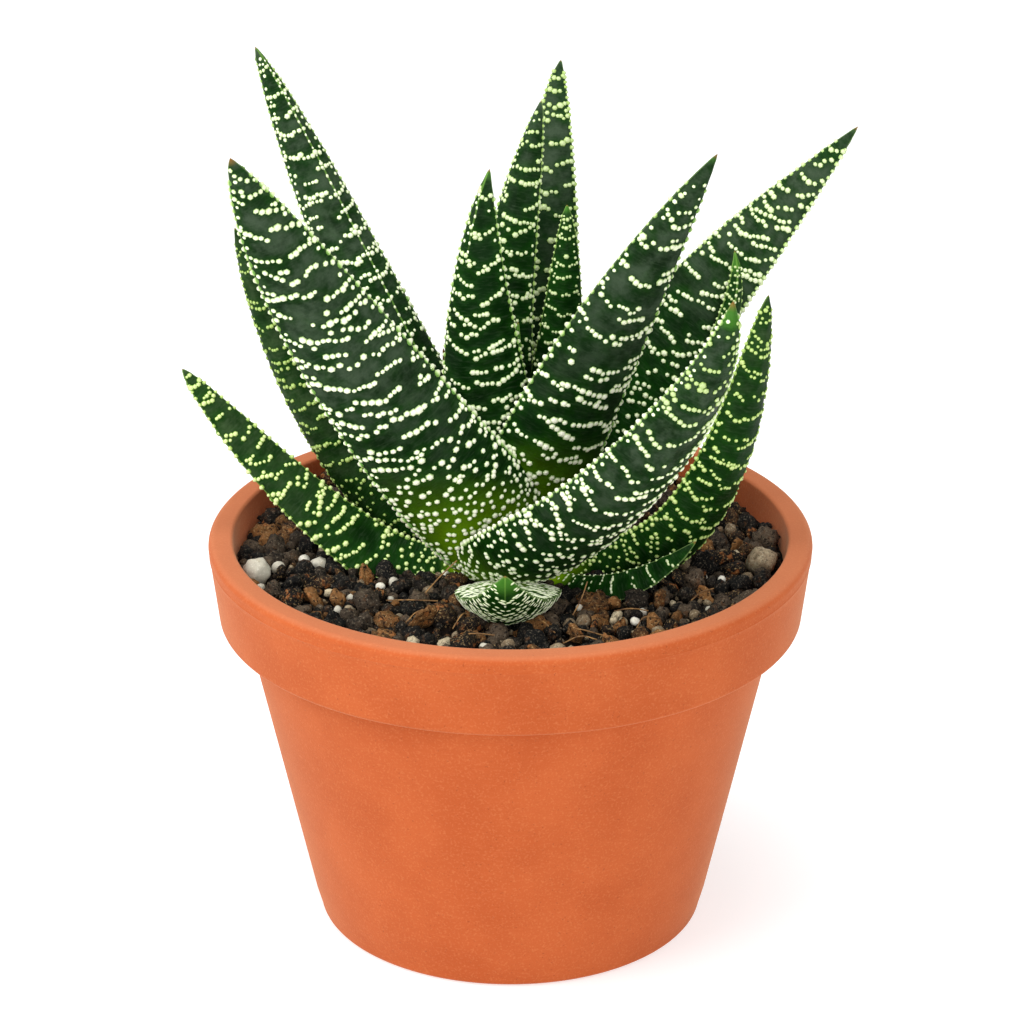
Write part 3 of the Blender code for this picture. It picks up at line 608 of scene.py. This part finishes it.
def new_tree(name, **inputs):
    """A Geometry Nodes tree with a Geometry input and output, the named inputs and a Material."""
    tree = bpy.data.node_groups.new(name, "GeometryNodeTree")
    tree.is_modifier = True
    for label, kind in {"Geometry": "Geometry", **inputs, "Material": "Material"}.items():
        tree.interface.new_socket(label, in_out="INPUT", socket_type="NodeSocket" + kind)
    tree.interface.new_socket("Geometry", in_out="OUTPUT", socket_type="NodeSocketGeometry")
    return tree, add_node(tree, "NodeGroupInput").node.outputs


def close_tree(tree, geometry, material):
    """Ends a tree: real geometry, smooth, with its material."""
    real = add_node(tree, "GeometryNodeRealizeInstances", {0: geometry})
    smoothed = add_node(tree, "GeometryNodeSetShadeSmooth", {0: real})
    done = add_node(tree, "GeometryNodeSetMaterial", {0: smoothed, "Material": material})
    add_node(tree, "NodeGroupOutput", {0: done})
    return tree


def grow_piece(name, base_mesh, tree, material, slot, **values):
    """Adds the piece that a tree makes of a base mesh, with the tree's inputs set by identifier."""
    base = bpy.data.objects.new(name + "_base", base_mesh)
    bpy.context.scene.collection.objects.link(base)
    modifier = base.modifiers.new("grow", "NODES")
    modifier.node_group = tree
    values["Material"] = material
    for item in tree.interface.items_tree:
        if item.in_out == "INPUT" and item.name in values:
            modifier[item.identifier] = values[item.name]
    depsgraph = bpy.context.evaluated_depsgraph_get()
    mesh = bpy.data.meshes.new_from_object(base.evaluated_get(depsgraph), depsgraph=depsgraph)
    base.modifiers.remove(modifier)
    bpy.data.objects.remove(base)
    bpy.data.meshes.remove(base_mesh)
    for guide in ("size", "normal_way", "row_way"):
        if guide in mesh.attributes:
            mesh.attributes.remove(mesh.attributes[guide])
    mesh.name = name
    add_piece(name, mesh, material, slot)


def grit_tree():
    """Turns points with a size and a shade into lumps, each with its own crumbled shape."""
    tree, given = new_tree("grit", Facets="Int", Crumbling="Float", Seed="Int")
    size = add_node(tree, "GeometryNodeInputNamedAttribute", {"Name": "size"}, data_type="FLOAT_VECTOR")
    ball = add_node(tree, "GeometryNodeMeshIcoSphere", {"Radius": 0.5, "Subdivisions": given["Facets"]})
    turn = add_node(tree, "FunctionNodeRandomValue", {0: (0.0, 0.0, 0.0), 1: (6.28, 6.28, 6.28),
                                                      "Seed": given["Seed"]}, data_type="FLOAT_VECTOR")
    placed = add_node(tree, "GeometryNodeInstanceOnPoints", {
        "Points": given["Geometry"], "Instance": ball, "Rotation": turn, "Scale": size})
    real = add_node(tree, "GeometryNodeRealizeInstances", {0: placed})
    width = add_node(tree, "ShaderNodeVectorMath", {0: size}, "Value", operation="LENGTH")
    place = add_node(tree, "GeometryNodeInputPosition")
    depth = add_node(tree, "ShaderNodeTexNoise", {"Vector": place, "Scale": 520.0, "Detail": 4.0,
                                                  "Roughness": 0.75})
    for operation, value in (("SUBTRACT", 0.5), ("MULTIPLY", width), ("MULTIPLY", given["Crumbling"])):
        depth = add_node(tree, "ShaderNodeMath", {0: depth, 1: value}, operation=operation)
    normal = add_node(tree, "GeometryNodeInputNormal")
    offset = add_node(tree, "ShaderNodeVectorMath", {0: normal, "Scale": depth}, operation="SCALE")
    moved = add_node(tree, "GeometryNodeSetPosition", {0: real, "Offset": offset})
    return close_tree(tree, moved, given["Material"])


def point_mesh(name, places, **layers):
    """A mesh of bare points that carries layers of vectors or numbers for a tree to read."""
    mesh = bpy.data.meshes.new(name)
    mesh.from_pydata([tuple(place) for place in places], [], [])
    for label, values in layers.items():
        if isinstance(values[0], float):
            mesh.attributes.new(label, "FLOAT", "POINT").data.foreach_set("value", values)
        else:
            parts = [part for value in values for part in value]
            mesh.attributes.new(label, "FLOAT_VECTOR", "POINT").data.foreach_set("vector", parts)
    return mesh


def leaf_bodies():
    """A search tree for each dressed leaf's surface, by the piece's name."""
    depsgraph = bpy.context.evaluated_depsgraph_get()
    return {piece.name: BVHTree.FromObject(piece, depsgraph)
            for piece in bpy.data.objects if piece.name.startswith("flesh_")}


def inside(body, place):
    """Whether a place is inside a closed body: a ray from it leaves through an odd count of faces."""
    way = Vector((0.21, 0.13, 0.97)).normalized()
    odd = False
    spot = body.ray_cast(place, way)[0]
    while spot is not None:
        odd = not odd
        spot = body.ray_cast(spot + way * 1e-6, way)[0]
    return odd


def buried(bodies, place, skip=None):
    """Whether a place is inside any leaf but the one named."""
    return any(inside(body, place) for name, body in bodies.items()
               if name != skip and body.find_nearest(place, 0.012)[0] is not None)


def leaf_gap(bodies, place):
    """How far a place is from the nearest leaf, in metres; nought inside a leaf."""
    return 0.0 if buried(bodies, place) else min(body.find_nearest(place)[3] for body in bodies.values())


def scatter_grit(pot, soil):
    """Place, width and kind of each grain: big lumps first, then ever smaller ones in their gaps."""
    draw = random.Random(soil.seed)
    bodies = leaf_bodies()
    reach = inner_wall_radius(pot, soil.level) - 0.4 * MM
    grit = []
    cells = {}
    rounds = 14
    tries = 700
    stone_lift = 0.42
    past_wall = 0.45
    clear_of_leaf = 0.35

    def cell(x, y):
        return int(x // soil.coarse), int(y // soil.coarse)

    def crowded(x, y, width, closeness=0.82):
        column, row = cell(x, y)
        near = [other for step in product((-1, 0, 1), repeat=2)
                for other in cells.get((column + step[0], row + step[1]), ())]
        return any(math.hypot(x - other_x, y - other_y) < (width + other) * 0.5 * closeness
                   for other_x, other_y, other in near)

    def settle(x, y, width, kind, lift):
        cells.setdefault(cell(x, y), []).append((x, y, width))
        grit.append((Vector((x, y, soil_height(soil, x, y) + width * lift)), width, kind))

    for kind, about in GRITS.items():
        for x, y, width in about.stones:
            settle(x * MM, y * MM, width * MM, kind, stone_lift)
    for share in (step / (rounds - 1) for step in range(rounds)):
        width = soil.coarse * (soil.fine / soil.coarse) ** share
        for _ in range(int(tries * (1.0 + 5.0 * share))):
            radius = reach * math.sqrt(draw.random())
            angle = draw.uniform(0.0, 2.0 * math.pi)
            x, y = radius * math.cos(angle), radius * math.sin(angle)
            actual = width * draw.uniform(0.85, 1.15)
            if radius + actual * past_wall > reach or crowded(x, y, actual):
                continue
            if leaf_gap(bodies, Vector((x, y, soil.level))) < actual * clear_of_leaf:
                continue
            pick = draw.random()
            kinds = [kind for kind, about in GRITS.items() if pick > about.draw and actual < about.widest]
            settle(x, y, actual, kinds[-1], draw.uniform(0.0, 0.4))
    return grit


class GASTERALOE_OT_grit(bpy.types.Operator):
    """Scatter lumps, bark, pumice and perlite over the soil"""
    bl_idname = "gasteraloe.grit"
    bl_label = "Grit and Stones"

    def execute(self, context):
        pot, soil = context.scene.gasteraloe_pot, context.scene.gasteraloe_soil
        draw = random.Random(soil.seed + 1)
        tree = grit_tree()
        grit = scatter_grit(pot, soil)
        for kind, about in GRITS.items():
            material = stony(*about.finish)
            for label, large, facets in (("large", True, 3), ("small", False, 2)):
                chosen = [(place, width) for place, width, sort in grit
                          if sort == kind and (width > LARGE_GRAIN) == large]
                if not chosen:
                    continue
                sizes = [[width * draw.uniform(*about.squash) for _ in range(3)] for _, width in chosen]
                shades = [draw.random() ** 1.6 for _ in chosen]
                name = kind + "_" + label
                base = point_mesh(name, [place for place, _ in chosen], size=sizes, shade=shades)
                grow_piece(name, base, tree, material, "potting_mix", Facets=facets, Seed=soil.seed,
                           Crumbling=soil.crumbling * about.rough)
        return {"FINISHED"}


def fibre_tree():
    """Gives bare lines a smooth run and a round section."""
    tree, given = new_tree("fibre", Thickness="Float")
    line = add_node(tree, "GeometryNodeMeshToCurve", {0: given["Geometry"]})
    line = add_node(tree, "GeometryNodeCurveSplineType", {0: line}, spline_type="BEZIER")
    line = add_node(tree, "GeometryNodeCurveSetHandles", {0: line}, handle_type="AUTO")
    line = add_node(tree, "GeometryNodeResampleCurve", {0: line, "Count": 14})
    half = add_node(tree, "ShaderNodeMath", {0: given["Thickness"], 1: 0.5}, operation="MULTIPLY")
    ring = add_node(tree, "GeometryNodeCurvePrimitiveCircle", {"Resolution": 6, "Radius": half})
    tube = add_node(tree, "GeometryNodeCurveToMesh", {0: line, 1: ring, "Fill Caps": True})
    return close_tree(tree, tube, given["Material"])


class GASTERALOE_OT_fibres(bpy.types.Operator):
    """Lay dry roots and splinters on the soil"""
    bl_idname = "gasteraloe.fibres"
    bl_label = "Dry Roots"

    def execute(self, context):
        base = bpy.data.meshes.new("dry_roots")
        points = [Vector(point) * MM for fibre in FIBRES for point in fibre]
        edges = [(3 * index + step, 3 * index + step + 1) for index in range(len(FIBRES)) for step in (0, 1)]
        base.from_pydata(points, edges, [])
        grow_piece("dry_roots", base, fibre_tree(), dry_root(), "root_bark",
                   Thickness=context.scene.gasteraloe_soil.fibre)
        return {"FINISHED"}


class GASTERALOE_OT_stem(bpy.types.Operator):
    """Make the short stem and its thick roots"""
    bl_idname = "gasteraloe.stem"
    bl_label = "Stem and Roots"

    def execute(self, context):
        bm = turned([(radius * MM, height * MM) for radius, height in STEM], 32, closed=False)
        thick, thin = ROOT[2]
        for index in range(6):
            angle = math.pi * index / 3.0
            start, end = (Vector((out * math.cos(angle), out * math.sin(angle), height)) * MM
                          for out, height in ROOT[:2])
            along = end - start
            root = bmesh.ops.create_cone(bm, cap_ends=True, segments=10, radius1=thick * MM,
                                         radius2=thin * MM, depth=along.length)["verts"]
            turn = Vector((0.0, 0.0, 1.0)).rotation_difference(along).to_matrix().to_4x4()
            bmesh.ops.transform(bm, matrix=Matrix.Translation((start + end) / 2.0) @ turn, verts=root)
        add_piece("stem", finish_mesh(bm, "stem", 50), dry_root(), "root_bark", "stem_and_roots")
        return {"FINISHED"}


def route(leaf, share):
    """Centre, inner-face normal and width direction at a share of the leaf's curve, in mm."""
    foot, one, two, tip = (Vector(point) for point in (leaf.foot, leaf.handle_a, leaf.handle_b, leaf.tip))
    rest = 1.0 - share
    centre = foot * rest ** 3 + one * 3 * rest ** 2 * share + two * 3 * rest * share ** 2 + tip * share ** 3
    along = (one - foot) * rest ** 2 + (two - one) * 2 * rest * share + (tip - two) * share ** 2
    along.normalize()
    azimuth, elevation = (math.radians(angle) for angle in leaf.inner)
    flat = math.cos(elevation)
    look = Vector((flat * math.cos(azimuth), flat * math.sin(azimuth), math.sin(elevation)))
    normal = (look - along * look.dot(along)).normalized()
    return centre, normal, along.cross(normal)


def leaf_length(leaf, steps=60):
    """Length of the leaf along its curve, in mm."""
    points = [route(leaf, step / steps)[0] for step in range(steps + 1)]
    return sum((after - before).length for before, after in zip(points, points[1:]))


def opening(leaf, share):
    """How far the leaf has filled out from its neck: fully from 0.3 of its length."""
    return leaf.neck + (1.0 - leaf.neck) * math.sin(min(share / 0.3, 1.0) * math.pi / 2.0)


def half_width(leaf, share):
    """Half the leaf's width at a share of its curve, in mm."""
    spread = (1.0 - min(share, 1.0) ** leaf.taper) ** 0.95
    return leaf.width / 2.0 * spread * opening(leaf, share) + 0.15


def skin_place(leaf, share, across, on_back):
    """A point of the leaf's skin, in mm, at a place from -1 to 1 across its back or inner face."""
    centre, normal, side = route(leaf, share)
    wide = half_width(leaf, share)
    deep = leaf.thick * (1.0 - min(share, 1.0) ** 2.2) ** 0.8 * opening(leaf, share)
    ripple = noise.noise(centre * 0.09 + side * across * wide * 0.12) * 0.25 * (1.0 - across ** 2)
    if on_back:
        sharp = leaf.keel * share
        top = leaf.ridge[0] * 0.7 if leaf.ridge else 0.0
        off_top = abs(across - top) / (1.0 - top if across > top else 1.0 + top)
        round_back = max(1.0 - off_top ** 2.4, 0.0) ** 0.75
        out = ripple * 0.6 - ((1.0 - sharp) * round_back + sharp * (1.0 - off_top)) * deep * 0.75
    else:
        out = (1.0 - across ** 2) * deep * 0.2 - ripple * 0.6
    return centre + side * (across * wide) + normal * out


def skin_frame(leaf, share, across, on_back):
    """Place, outward normal and direction across at a point of the skin, in mm."""
    small = 0.01
    place = skin_place(leaf, share, across, on_back)
    sideways = skin_place(leaf, share, min(across + small, 1.0), on_back)
    sideways -= skin_place(leaf, share, max(across - small, -1.0), on_back)
    forward = skin_place(leaf, min(share + small, 1.0), across, on_back)
    forward -= skin_place(leaf, max(share - small, 0.0), across, on_back)
    normal = sideways.cross(forward).normalized()
    if normal.dot(place - route(leaf, share)[0]) < 0.0:
        normal = -normal
    return place, normal, sideways.normalized()


def clamped(value, most=1.0):
    """A value kept from nought to most."""
    return min(max(value, 0.0), most)


def leaf_flesh(leaf, settings, warts):
    """The leaf's closed body, raised a little under its warts, with layers that colour its skin."""
    bm = bmesh.new()
    layers = {name: bm.verts.layers.float.new(name) for name in SKIN_LAYERS}
    length = leaf_length(leaf)
    near = KDTree(len(warts))
    for index, wart in enumerate(warts):
        near.insert(skin_place(leaf, wart.share, wart.across, wart.on_back), index)
    near.balance()
    places = [(math.sin((2.0 * step / settings.back_sides - 1.0) * math.pi / 2.0), True)
              for step in range(settings.back_sides + 1)]
    places += [(math.sin((1.0 - 2.0 * step / settings.inner_sides) * math.pi / 2.0), False)
               for step in range(1, settings.inner_sides)]
    ridge_place, ridge_start = leaf.ridge or (0.0, 1.0)
    rings = []
    for share in (step / settings.rings for step in range(settings.rings)):
        run = share * length
        wide = half_width(leaf, share)
        ring = []
        for across, on_back in places:
            place, normal, _ = skin_frame(leaf, share, across, on_back)
            by_wart = math.exp(-(near.find(place)[2] / 0.95) ** 2)
            climb = max(run * 0.6, place.z - leaf.foot[2])
            climb += max(0.0, leaf.lean * (1.0 - across) / 2.0, -leaf.lean * (1.0 + across) / 2.0)
            vert = bm.verts.new((place + normal * by_wart * settings.swelling / MM) * MM)
            values = {
                "flush": max(0.0, 1.0 - climb / leaf.flush) * (1.0 - 0.6 * across ** 4),
                "pale_foot": max(0.0, 1.0 - climb / (leaf.flush * 0.25)) * 0.7,
                "beside": (across - ridge_place) * wide,
                "ridged": clamped((share - ridge_start) / 0.2) * on_back,
                "from_margin": (1.0 - abs(across)) * wide,
                "dry": max(0.0, (run - length + leaf.dry) / leaf.dry),
                "fresh": clamped((run - length + leaf.fresh) / 3.0, 0.65),
                "run": run,
                "side": across * wide,
                "upper": clamped((share - leaf.grey) / 0.3),
                "by_wart": by_wart,
            }
            for name, value in values.items():
                vert[layers[name]] = value
            ring.append(vert)
        rings.append(ring)
    tip = bm.verts.new(Vector(leaf.tip) * MM)
    tip[layers["dry"]] = 1.0
    tip[layers["run"]] = length
    for index in range(len(places)):
        after = (index + 1) % len(places)
        for lower, upper in zip(rings, rings[1:]):
            bm.faces.new((lower[index], lower[after], upper[after], upper[index]))
        bm.faces.new((rings[-1][index], rings[-1][after], tip))
    bm.faces.new(list(reversed(rings[0])))
    return finish_mesh(bm, "flesh_" + leaf.name, 50)


def wart_tree():
    """Sets a flattened bead on each point, its crown along normal_way and its length along row_way."""
    tree, given = new_tree("warts", Sides="Int", Spread="Float", Seed="Int")
    normal_way, row_way, size = (
        add_node(tree, "GeometryNodeInputNamedAttribute", {"Name": name}, data_type="FLOAT_VECTOR")
        for name in ("normal_way", "row_way", "size"))
    bead = add_node(tree, "GeometryNodeMeshUVSphere", {"Segments": given["Sides"], "Rings": 5, "Radius": 0.5})
    place = add_node(tree, "GeometryNodeInputPosition")
    height = add_node(tree, "ShaderNodeSeparateXYZ", {0: place}, "Z")
    low_half = add_node(tree, "FunctionNodeCompare", {0: height, 1: 0.0}, operation="LESS_THAN")
    skirt = add_node(tree, "ShaderNodeVectorMath", {0: place, 1: (1.45, 1.45, 1.0)}, operation="MULTIPLY")
    flared = add_node(tree, "GeometryNodeSetPosition", {0: bead, "Selection": low_half, "Position": skirt})
    rise = add_node(tree, "ShaderNodeMath", {0: height, 1: 2.0}, operation="MULTIPLY")
    marked = add_node(tree, "GeometryNodeStoreNamedAttribute", {
        "Geometry": flared, "Name": "rise", "Value": rise}, data_type="FLOAT")
    turn = add_node(tree, "FunctionNodeAxesToRotation", {0: normal_way, 1: row_way},
                    primary_axis="Z", secondary_axis="X")
    least, most = (add_node(tree, "ShaderNodeMath", {0: 1.0, 1: given["Spread"]}, operation=operation)
                   for operation in ("SUBTRACT", "ADD"))
    spread = add_node(tree, "FunctionNodeRandomValue", {2: least, 3: most, "Seed": given["Seed"]}, 1,
                      data_type="FLOAT")
    scale = add_node(tree, "ShaderNodeVectorMath", {0: size, "Scale": spread}, operation="SCALE")
    placed = add_node(tree, "GeometryNodeInstanceOnPoints", {
        "Points": given["Geometry"], "Instance": marked, "Rotation": turn, "Scale": scale})
    return close_tree(tree, placed, given["Material"])


def section_steps(leaf, share, on_back, steps=36):
    """Arc lengths, in mm, from one margin to places across a face at a share of the leaf."""
    walked = [(0.0, -1.0)]
    before = skin_place(leaf, share, -1.0, on_back)
    for step in range(1, steps + 1):
        across = math.sin((2.0 * step / steps - 1.0) * math.pi / 2.0)
        place = skin_place(leaf, share, across, on_back)
        walked.append((walked[-1][0] + (place - before).length, across))
        before = place
    return walked


def across_at(walked, arc_mm):
    """The place across a face that lies an arc length from its margin."""
    for (start, low), (end, high) in zip(walked, walked[1:]):
        if arc_mm <= end:
            return low + (high - low) * (arc_mm - start) / (end - start)
    return 1.0


def looseness(leaf, share):
    """How loosely the warts are strewn: most near the foot, and never where they are dashes."""
    return 0.0 if leaf.dash > 1.5 else clamped((0.45 - share) / 0.25)


def wart_row(leaf, draw, run, length, on_back, fill_share):
    """One row of warts across a face: runs of touching warts with gaps, looser near the foot."""
    share = min(run / length, 0.99)
    loose = looseness(leaf, share)
    walked = section_steps(leaf, share, on_back)
    whole = walked[-1][0]
    wander = draw.uniform(0.0, 50.0)
    steady = min(leaf.pearl, 1.0)
    found = []
    arc_mm = draw.uniform(0.2, 1.6)
    while arc_mm < whole - 0.4:
        beads = draw.choice((1, 2, 3, 4, 5, 6) if loose < 0.4 else (1, 1, 1, 2, 2, 3))
        shown = draw.random() < fill_share
        shift = draw.gauss(0.0, (0.5 + 0.3 * loose) * steady)
        tilt = draw.uniform(-0.3, 0.3)
        width = leaf.pearl * draw.uniform(0.85, 1.12) * (1.0 - 0.22 * loose) * (1.0 - 0.25 * share)
        for bead in range(beads):
            across = across_at(walked, arc_mm)
            bend = leaf.width * (leaf.sag * (across ** 2 - 0.5) - leaf.skew * across)
            stray = 1.1 * noise.noise((wander, arc_mm * 0.16, 0.0))
            stray = (stray + draw.gauss(0.0, 0.17 + 0.3 * loose)) * steady
            here = run + bend + shift + stray + tilt * bead * width
            if shown and arc_mm < whole - 0.3 and 2.0 < here < length - leaf.bare:
                # leaf.tint greens the warts, partly as painted shade that dims those of leaves lying further
                # from the light
                green = max(0.0, share - 0.5) * leaf.fade + draw.uniform(0.0, 0.15) + leaf.tint
                found.append(Wart(here / length, across, on_back, width * draw.uniform(0.75, 1.15), green))
            arc_mm += width * leaf.dash * draw.uniform(0.86, 1.14) * (1.0 + 0.4 * loose)
        arc_mm += draw.uniform(0.1, 1.3) + 0.3 * loose
    return found


def keep_apart(leaf, warts, room=0.86, cell=2.0):
    """Drops each wart that would stand on an earlier one, looked for in cells of a few mm."""
    kept = []
    cells = {}
    for wart in warts:
        place = skin_place(leaf, wart.share, wart.across, wart.on_back)
        spot = tuple(int(part // cell) for part in place)
        near = [other for step in product((-1, 0, 1), repeat=3)
                for other in cells.get(tuple(one + two for one, two in zip(spot, step)), ())]
        if all((place - other).length > room * (wart.width + width) / 2.0 for other, width in near):
            kept.append(wart)
            cells.setdefault(spot, []).append((place, wart.width))
    return kept


def flank_warts(leaf, draw, length):
    """Lines of warts just inside both margins of the back, where the bands crowd together."""
    found = []
    for left in (True, False):
        run = 5.0
        while run < length - 4.0:
            share = run / length
            walked = section_steps(leaf, share, True, steps=16)
            arc_mm = draw.uniform(0.9, 1.7)
            across = across_at(walked, arc_mm if left else walked[-1][0] - arc_mm)
            if draw.random() < 0.7:
                width = leaf.pearl * draw.uniform(0.6, 0.85) * (1.0 - 0.25 * share)
                found.append(Wart(share, across, True, width, draw.uniform(0.0, 0.2) + leaf.tint))
            run += draw.uniform(1.3, 2.2)
    return found


def wart_places(leaf, draw):
    """Bands of warts over both faces, each of one row or more, and the lines along the flanks."""
    length = leaf_length(leaf)
    gap = leaf.pearl * 1.25
    found = []
    extra = []
    for on_back in (True, False):
        run = 3.0
        while run < length - leaf.bare:
            share = run / length
            loose = looseness(leaf, share)
            pitch = leaf.pitch * (1.0 - 0.62 * loose) * (1.0 - 0.2 * max(0.0, share - 0.75) / 0.25)
            found += wart_row(leaf, draw, run, length, on_back, 0.94)
            lines = leaf.lines * (1.0 - 0.3 * max(loose, 2.0 * (share - 0.5)))
            for offset, row_share in ((gap, min(lines - 1.0, 1.0)), (-gap, min(lines - 2.0, 1.0))):
                if row_share > 0.0:
                    extra += wart_row(leaf, draw, run + offset, length, on_back, row_share * 0.55)
            run += pitch * draw.uniform(0.88, 1.12)
    return keep_apart(leaf, found + extra + flank_warts(leaf, draw, length))


def leaf_beads(leaf, settings, bodies, warts, draw):
    """Place, crown, row direction, size and green of a leaf's warts, ridge beads and margin teeth."""
    beads = []
    height = settings.wart_height / MM
    length = leaf_length(leaf)
    pitch = settings.tooth_pitch / MM
    teeth = [(3.0 + pitch * index) / length for index in range(int((length - 6.0) / pitch))]

    def hidden(place):
        return buried(bodies, place * MM, "flesh_" + leaf.name)

    for wart in warts:
        place, normal, sideways = skin_frame(leaf, wart.share, wart.across, wart.on_back)
        place = place + normal * (settings.swelling / MM + 0.2 * height * wart.width)
        if not hidden(place):
            long = wart.width * (draw.uniform(0.9, 1.12) * leaf.dash)
            size = (long, wart.width, height * 2.0 * wart.width)
            beads.append((place, normal, sideways, size, min(1.0, wart.green)))
    ridge_place, ridge_start = leaf.ridge or (0.0, 2.0)
    for share in teeth:
        place, normal, sideways = skin_frame(leaf, share, ridge_place, True)
        if share >= ridge_start and not hidden(place):
            beads.append((place, normal, sideways, RIDGE_BEAD, draw.uniform(0.2, 0.6)))
    for share, side in product(teeth, (-1.0, 1.0)):
        place, normal, sideways = skin_frame(leaf, share, side * 0.995, True)
        outward = (sideways * side + normal * 0.85).normalized()
        forward = (route(leaf, min(share + 0.01, 1.0))[0] - route(leaf, share)[0]).normalized()
        if not hidden(place + outward * 0.4):
            size = draw.uniform(0.8, 1.15) * (1.0 - 0.35 * share) * leaf.pearl
            green = draw.uniform(0.0, 0.3) + 0.3 * share + leaf.tint
            beads.append((place, outward, forward, tuple(part * size for part in TOOTH), green))
    return beads


class GASTERALOE_OT_leaves(bpy.types.Operator):
    """Grow the leaves, with their warts in rows and their toothed margins"""
    bl_idname = "gasteraloe.leaves"
    bl_label = "Leaves"

    def execute(self, context):
        settings = context.scene.gasteraloe_leaf
        skins = {
            "green": leaf_skin("leaf_skin_green", "#031902", "#092508", "#3c4b39", "#7f9d5c"),
            "yellow": leaf_skin("leaf_skin_yellow", "#061f04", "#102d0c", "#34482a", "#7fa246"),
            "young": leaf_skin("leaf_skin_young", "#041e03", "#0b2a09", "#2e4428", "#82a552"),
        }
        pearls = {
            "green": pearl_wart("pearl_wart_white", "#cbe0a4", "#fbfbe6", "#4c8a2c"),
            "yellow": pearl_wart("pearl_wart_green", "#96ba50", "#dbe8a4", "#44791e"),
            "young": pearl_wart("pearl_wart_young", "#aecb84", "#ecf1cb", "#4a7f28"),
        }
        warts_of = []
        for index, leaf in enumerate(LEAVES):
            warts_of.append(wart_places(leaf, random.Random(settings.seed * 100 + index)))
            add_piece("flesh_" + leaf.name, leaf_flesh(leaf, settings, warts_of[index]),
                      skins[leaf.tone], "leaf_" + leaf.tone, "leaf_" + leaf.name)
        context.view_layer.update()
        bodies = leaf_bodies()
        tree = wart_tree()
        for index, leaf in enumerate(LEAVES):
            draw = random.Random(settings.seed * 200 + index)
            beads = leaf_beads(leaf, settings, bodies, warts_of[index], draw)
            places, normals, rows, sizes, greens = zip(*beads)
            name = "warts_" + leaf.name
            base = point_mesh(name, [place * MM for place in places], normal_way=normals, row_way=rows,
                              size=[Vector(size) * MM for size in sizes], green=greens)
            grow_piece(name, base, tree, pearls[leaf.tone], "leaf_" + leaf.tone, Seed=settings.seed + index,
                       Sides=settings.wart_sides, Spread=settings.size_spread)
        return {"FINISHED"}


class GASTERALOE_OT_stage(bpy.types.Operator):
    """Set the white floor, the soft lights and the camera"""
    bl_idname = "gasteraloe.stage"
    bl_label = "Studio"

    def execute(self, context):
        stage = context.scene.gasteraloe_stage

        def added(name, data, place):
            thing = bpy.data.objects.new(name, data)
            thing.location = place
            context.scene.collection.objects.link(thing)
            return thing

        bm = bmesh.new()
        bmesh.ops.create_grid(bm, x_segments=1, y_segments=1, size=4.0)
        bmesh.ops.translate(bm, verts=bm.verts, vec=(0.0, 0.0, -0.2 * MM))
        mesh = bpy.data.meshes.new("floor")
        bm.to_mesh(mesh)
        bm.free()
        mesh.materials.append(white_sweep())
        added("floor", mesh, (0.0, 0.0, 0.0))
        middle = Vector((0.0, 0.0, 0.08))
        for name, place, size, watts in (("key", (-1.0, -0.4, 0.85), 1.3, stage.key_watts),
                                         ("fill", (0.4, -1.1, 0.55), 0.9, stage.fill_watts),
                                         ("top", (-0.1, -0.1, 1.5), 1.0, stage.top_watts)):
            light = bpy.data.lights.new(name, "AREA")
            light.shape = "DISK"
            light.size = size
            light.energy = watts
            way = middle - Vector(place)
            added(name, light, place).rotation_euler = way.to_track_quat("-Z", "Y").to_euler()
        world = bpy.data.worlds.new("white_surround")
        world.use_nodes = True
        fill(world.node_tree, world.node_tree.nodes["Background"],
             {"Color": (1.0, 1.0, 1.0, 1.0), "Strength": stage.sky})
        context.scene.world = world
        context.scene.view_settings.view_transform = "Standard"
        camera = bpy.data.cameras.new("camera")
        camera.lens = stage.lens
        camera.sensor_width = 36.0
        camera.clip_end = 20.0
        eye = added("camera", camera, stage.eye)
        eye.rotation_euler = Euler((math.pi / 2.0 - stage.pitch, 0.0, 0.0))
        context.scene.camera = eye
        return {"FINISHED"}


class GASTERALOE_PT_panel(bpy.types.Panel):
    """Lists the settings and the steps that build the plant"""
    bl_label = "Potted Gasteraloe"
    bl_idname = "GASTERALOE_PT_panel"
    bl_space_type = "VIEW_3D"
    bl_region_type = "UI"
    bl_category = "Gasteraloe"

    def draw(self, context):
        for group in (getattr(context.scene, name) for name in GROUPS):
            box = self.layout.box()
            for name in group.bl_rna.properties.keys():
                if name not in ("rna_type", "name"):
                    box.prop(group, name)
        for operator in OPERATORS:
            self.layout.operator(operator.bl_idname)


GROUPS = {
    "gasteraloe_pot": GasteraloePotSettings,
    "gasteraloe_soil": GasteraloeSoilSettings,
    "gasteraloe_leaf": GasteraloeLeafSettings,
    "gasteraloe_stage": GasteraloeStageSettings,
}
OPERATORS = (GASTERALOE_OT_stage, GASTERALOE_OT_pot, GASTERALOE_OT_soil, GASTERALOE_OT_stem,
             GASTERALOE_OT_leaves, GASTERALOE_OT_grit, GASTERALOE_OT_fibres)
CLASSES = (*GROUPS.values(), *OPERATORS, GASTERALOE_PT_panel)


def register():
    for shown in CLASSES:
        bpy.utils.register_class(shown)
    for name, group in GROUPS.items():
        setattr(bpy.types.Scene, name, PointerProperty(type=group))


def unregister():
    for name in GROUPS:
        delattr(bpy.types.Scene, name)
    for shown in reversed(CLASSES):
        bpy.utils.unregister_class(shown)


def main():
    register()
    bpy.ops.gasteraloe.stage()
    bpy.ops.gasteraloe.pot()
    bpy.ops.gasteraloe.soil()
    bpy.ops.gasteraloe.stem()
    bpy.ops.gasteraloe.leaves()
    bpy.ops.gasteraloe.grit()
    bpy.ops.gasteraloe.fibres()


if __name__ == "__main__":
    main()
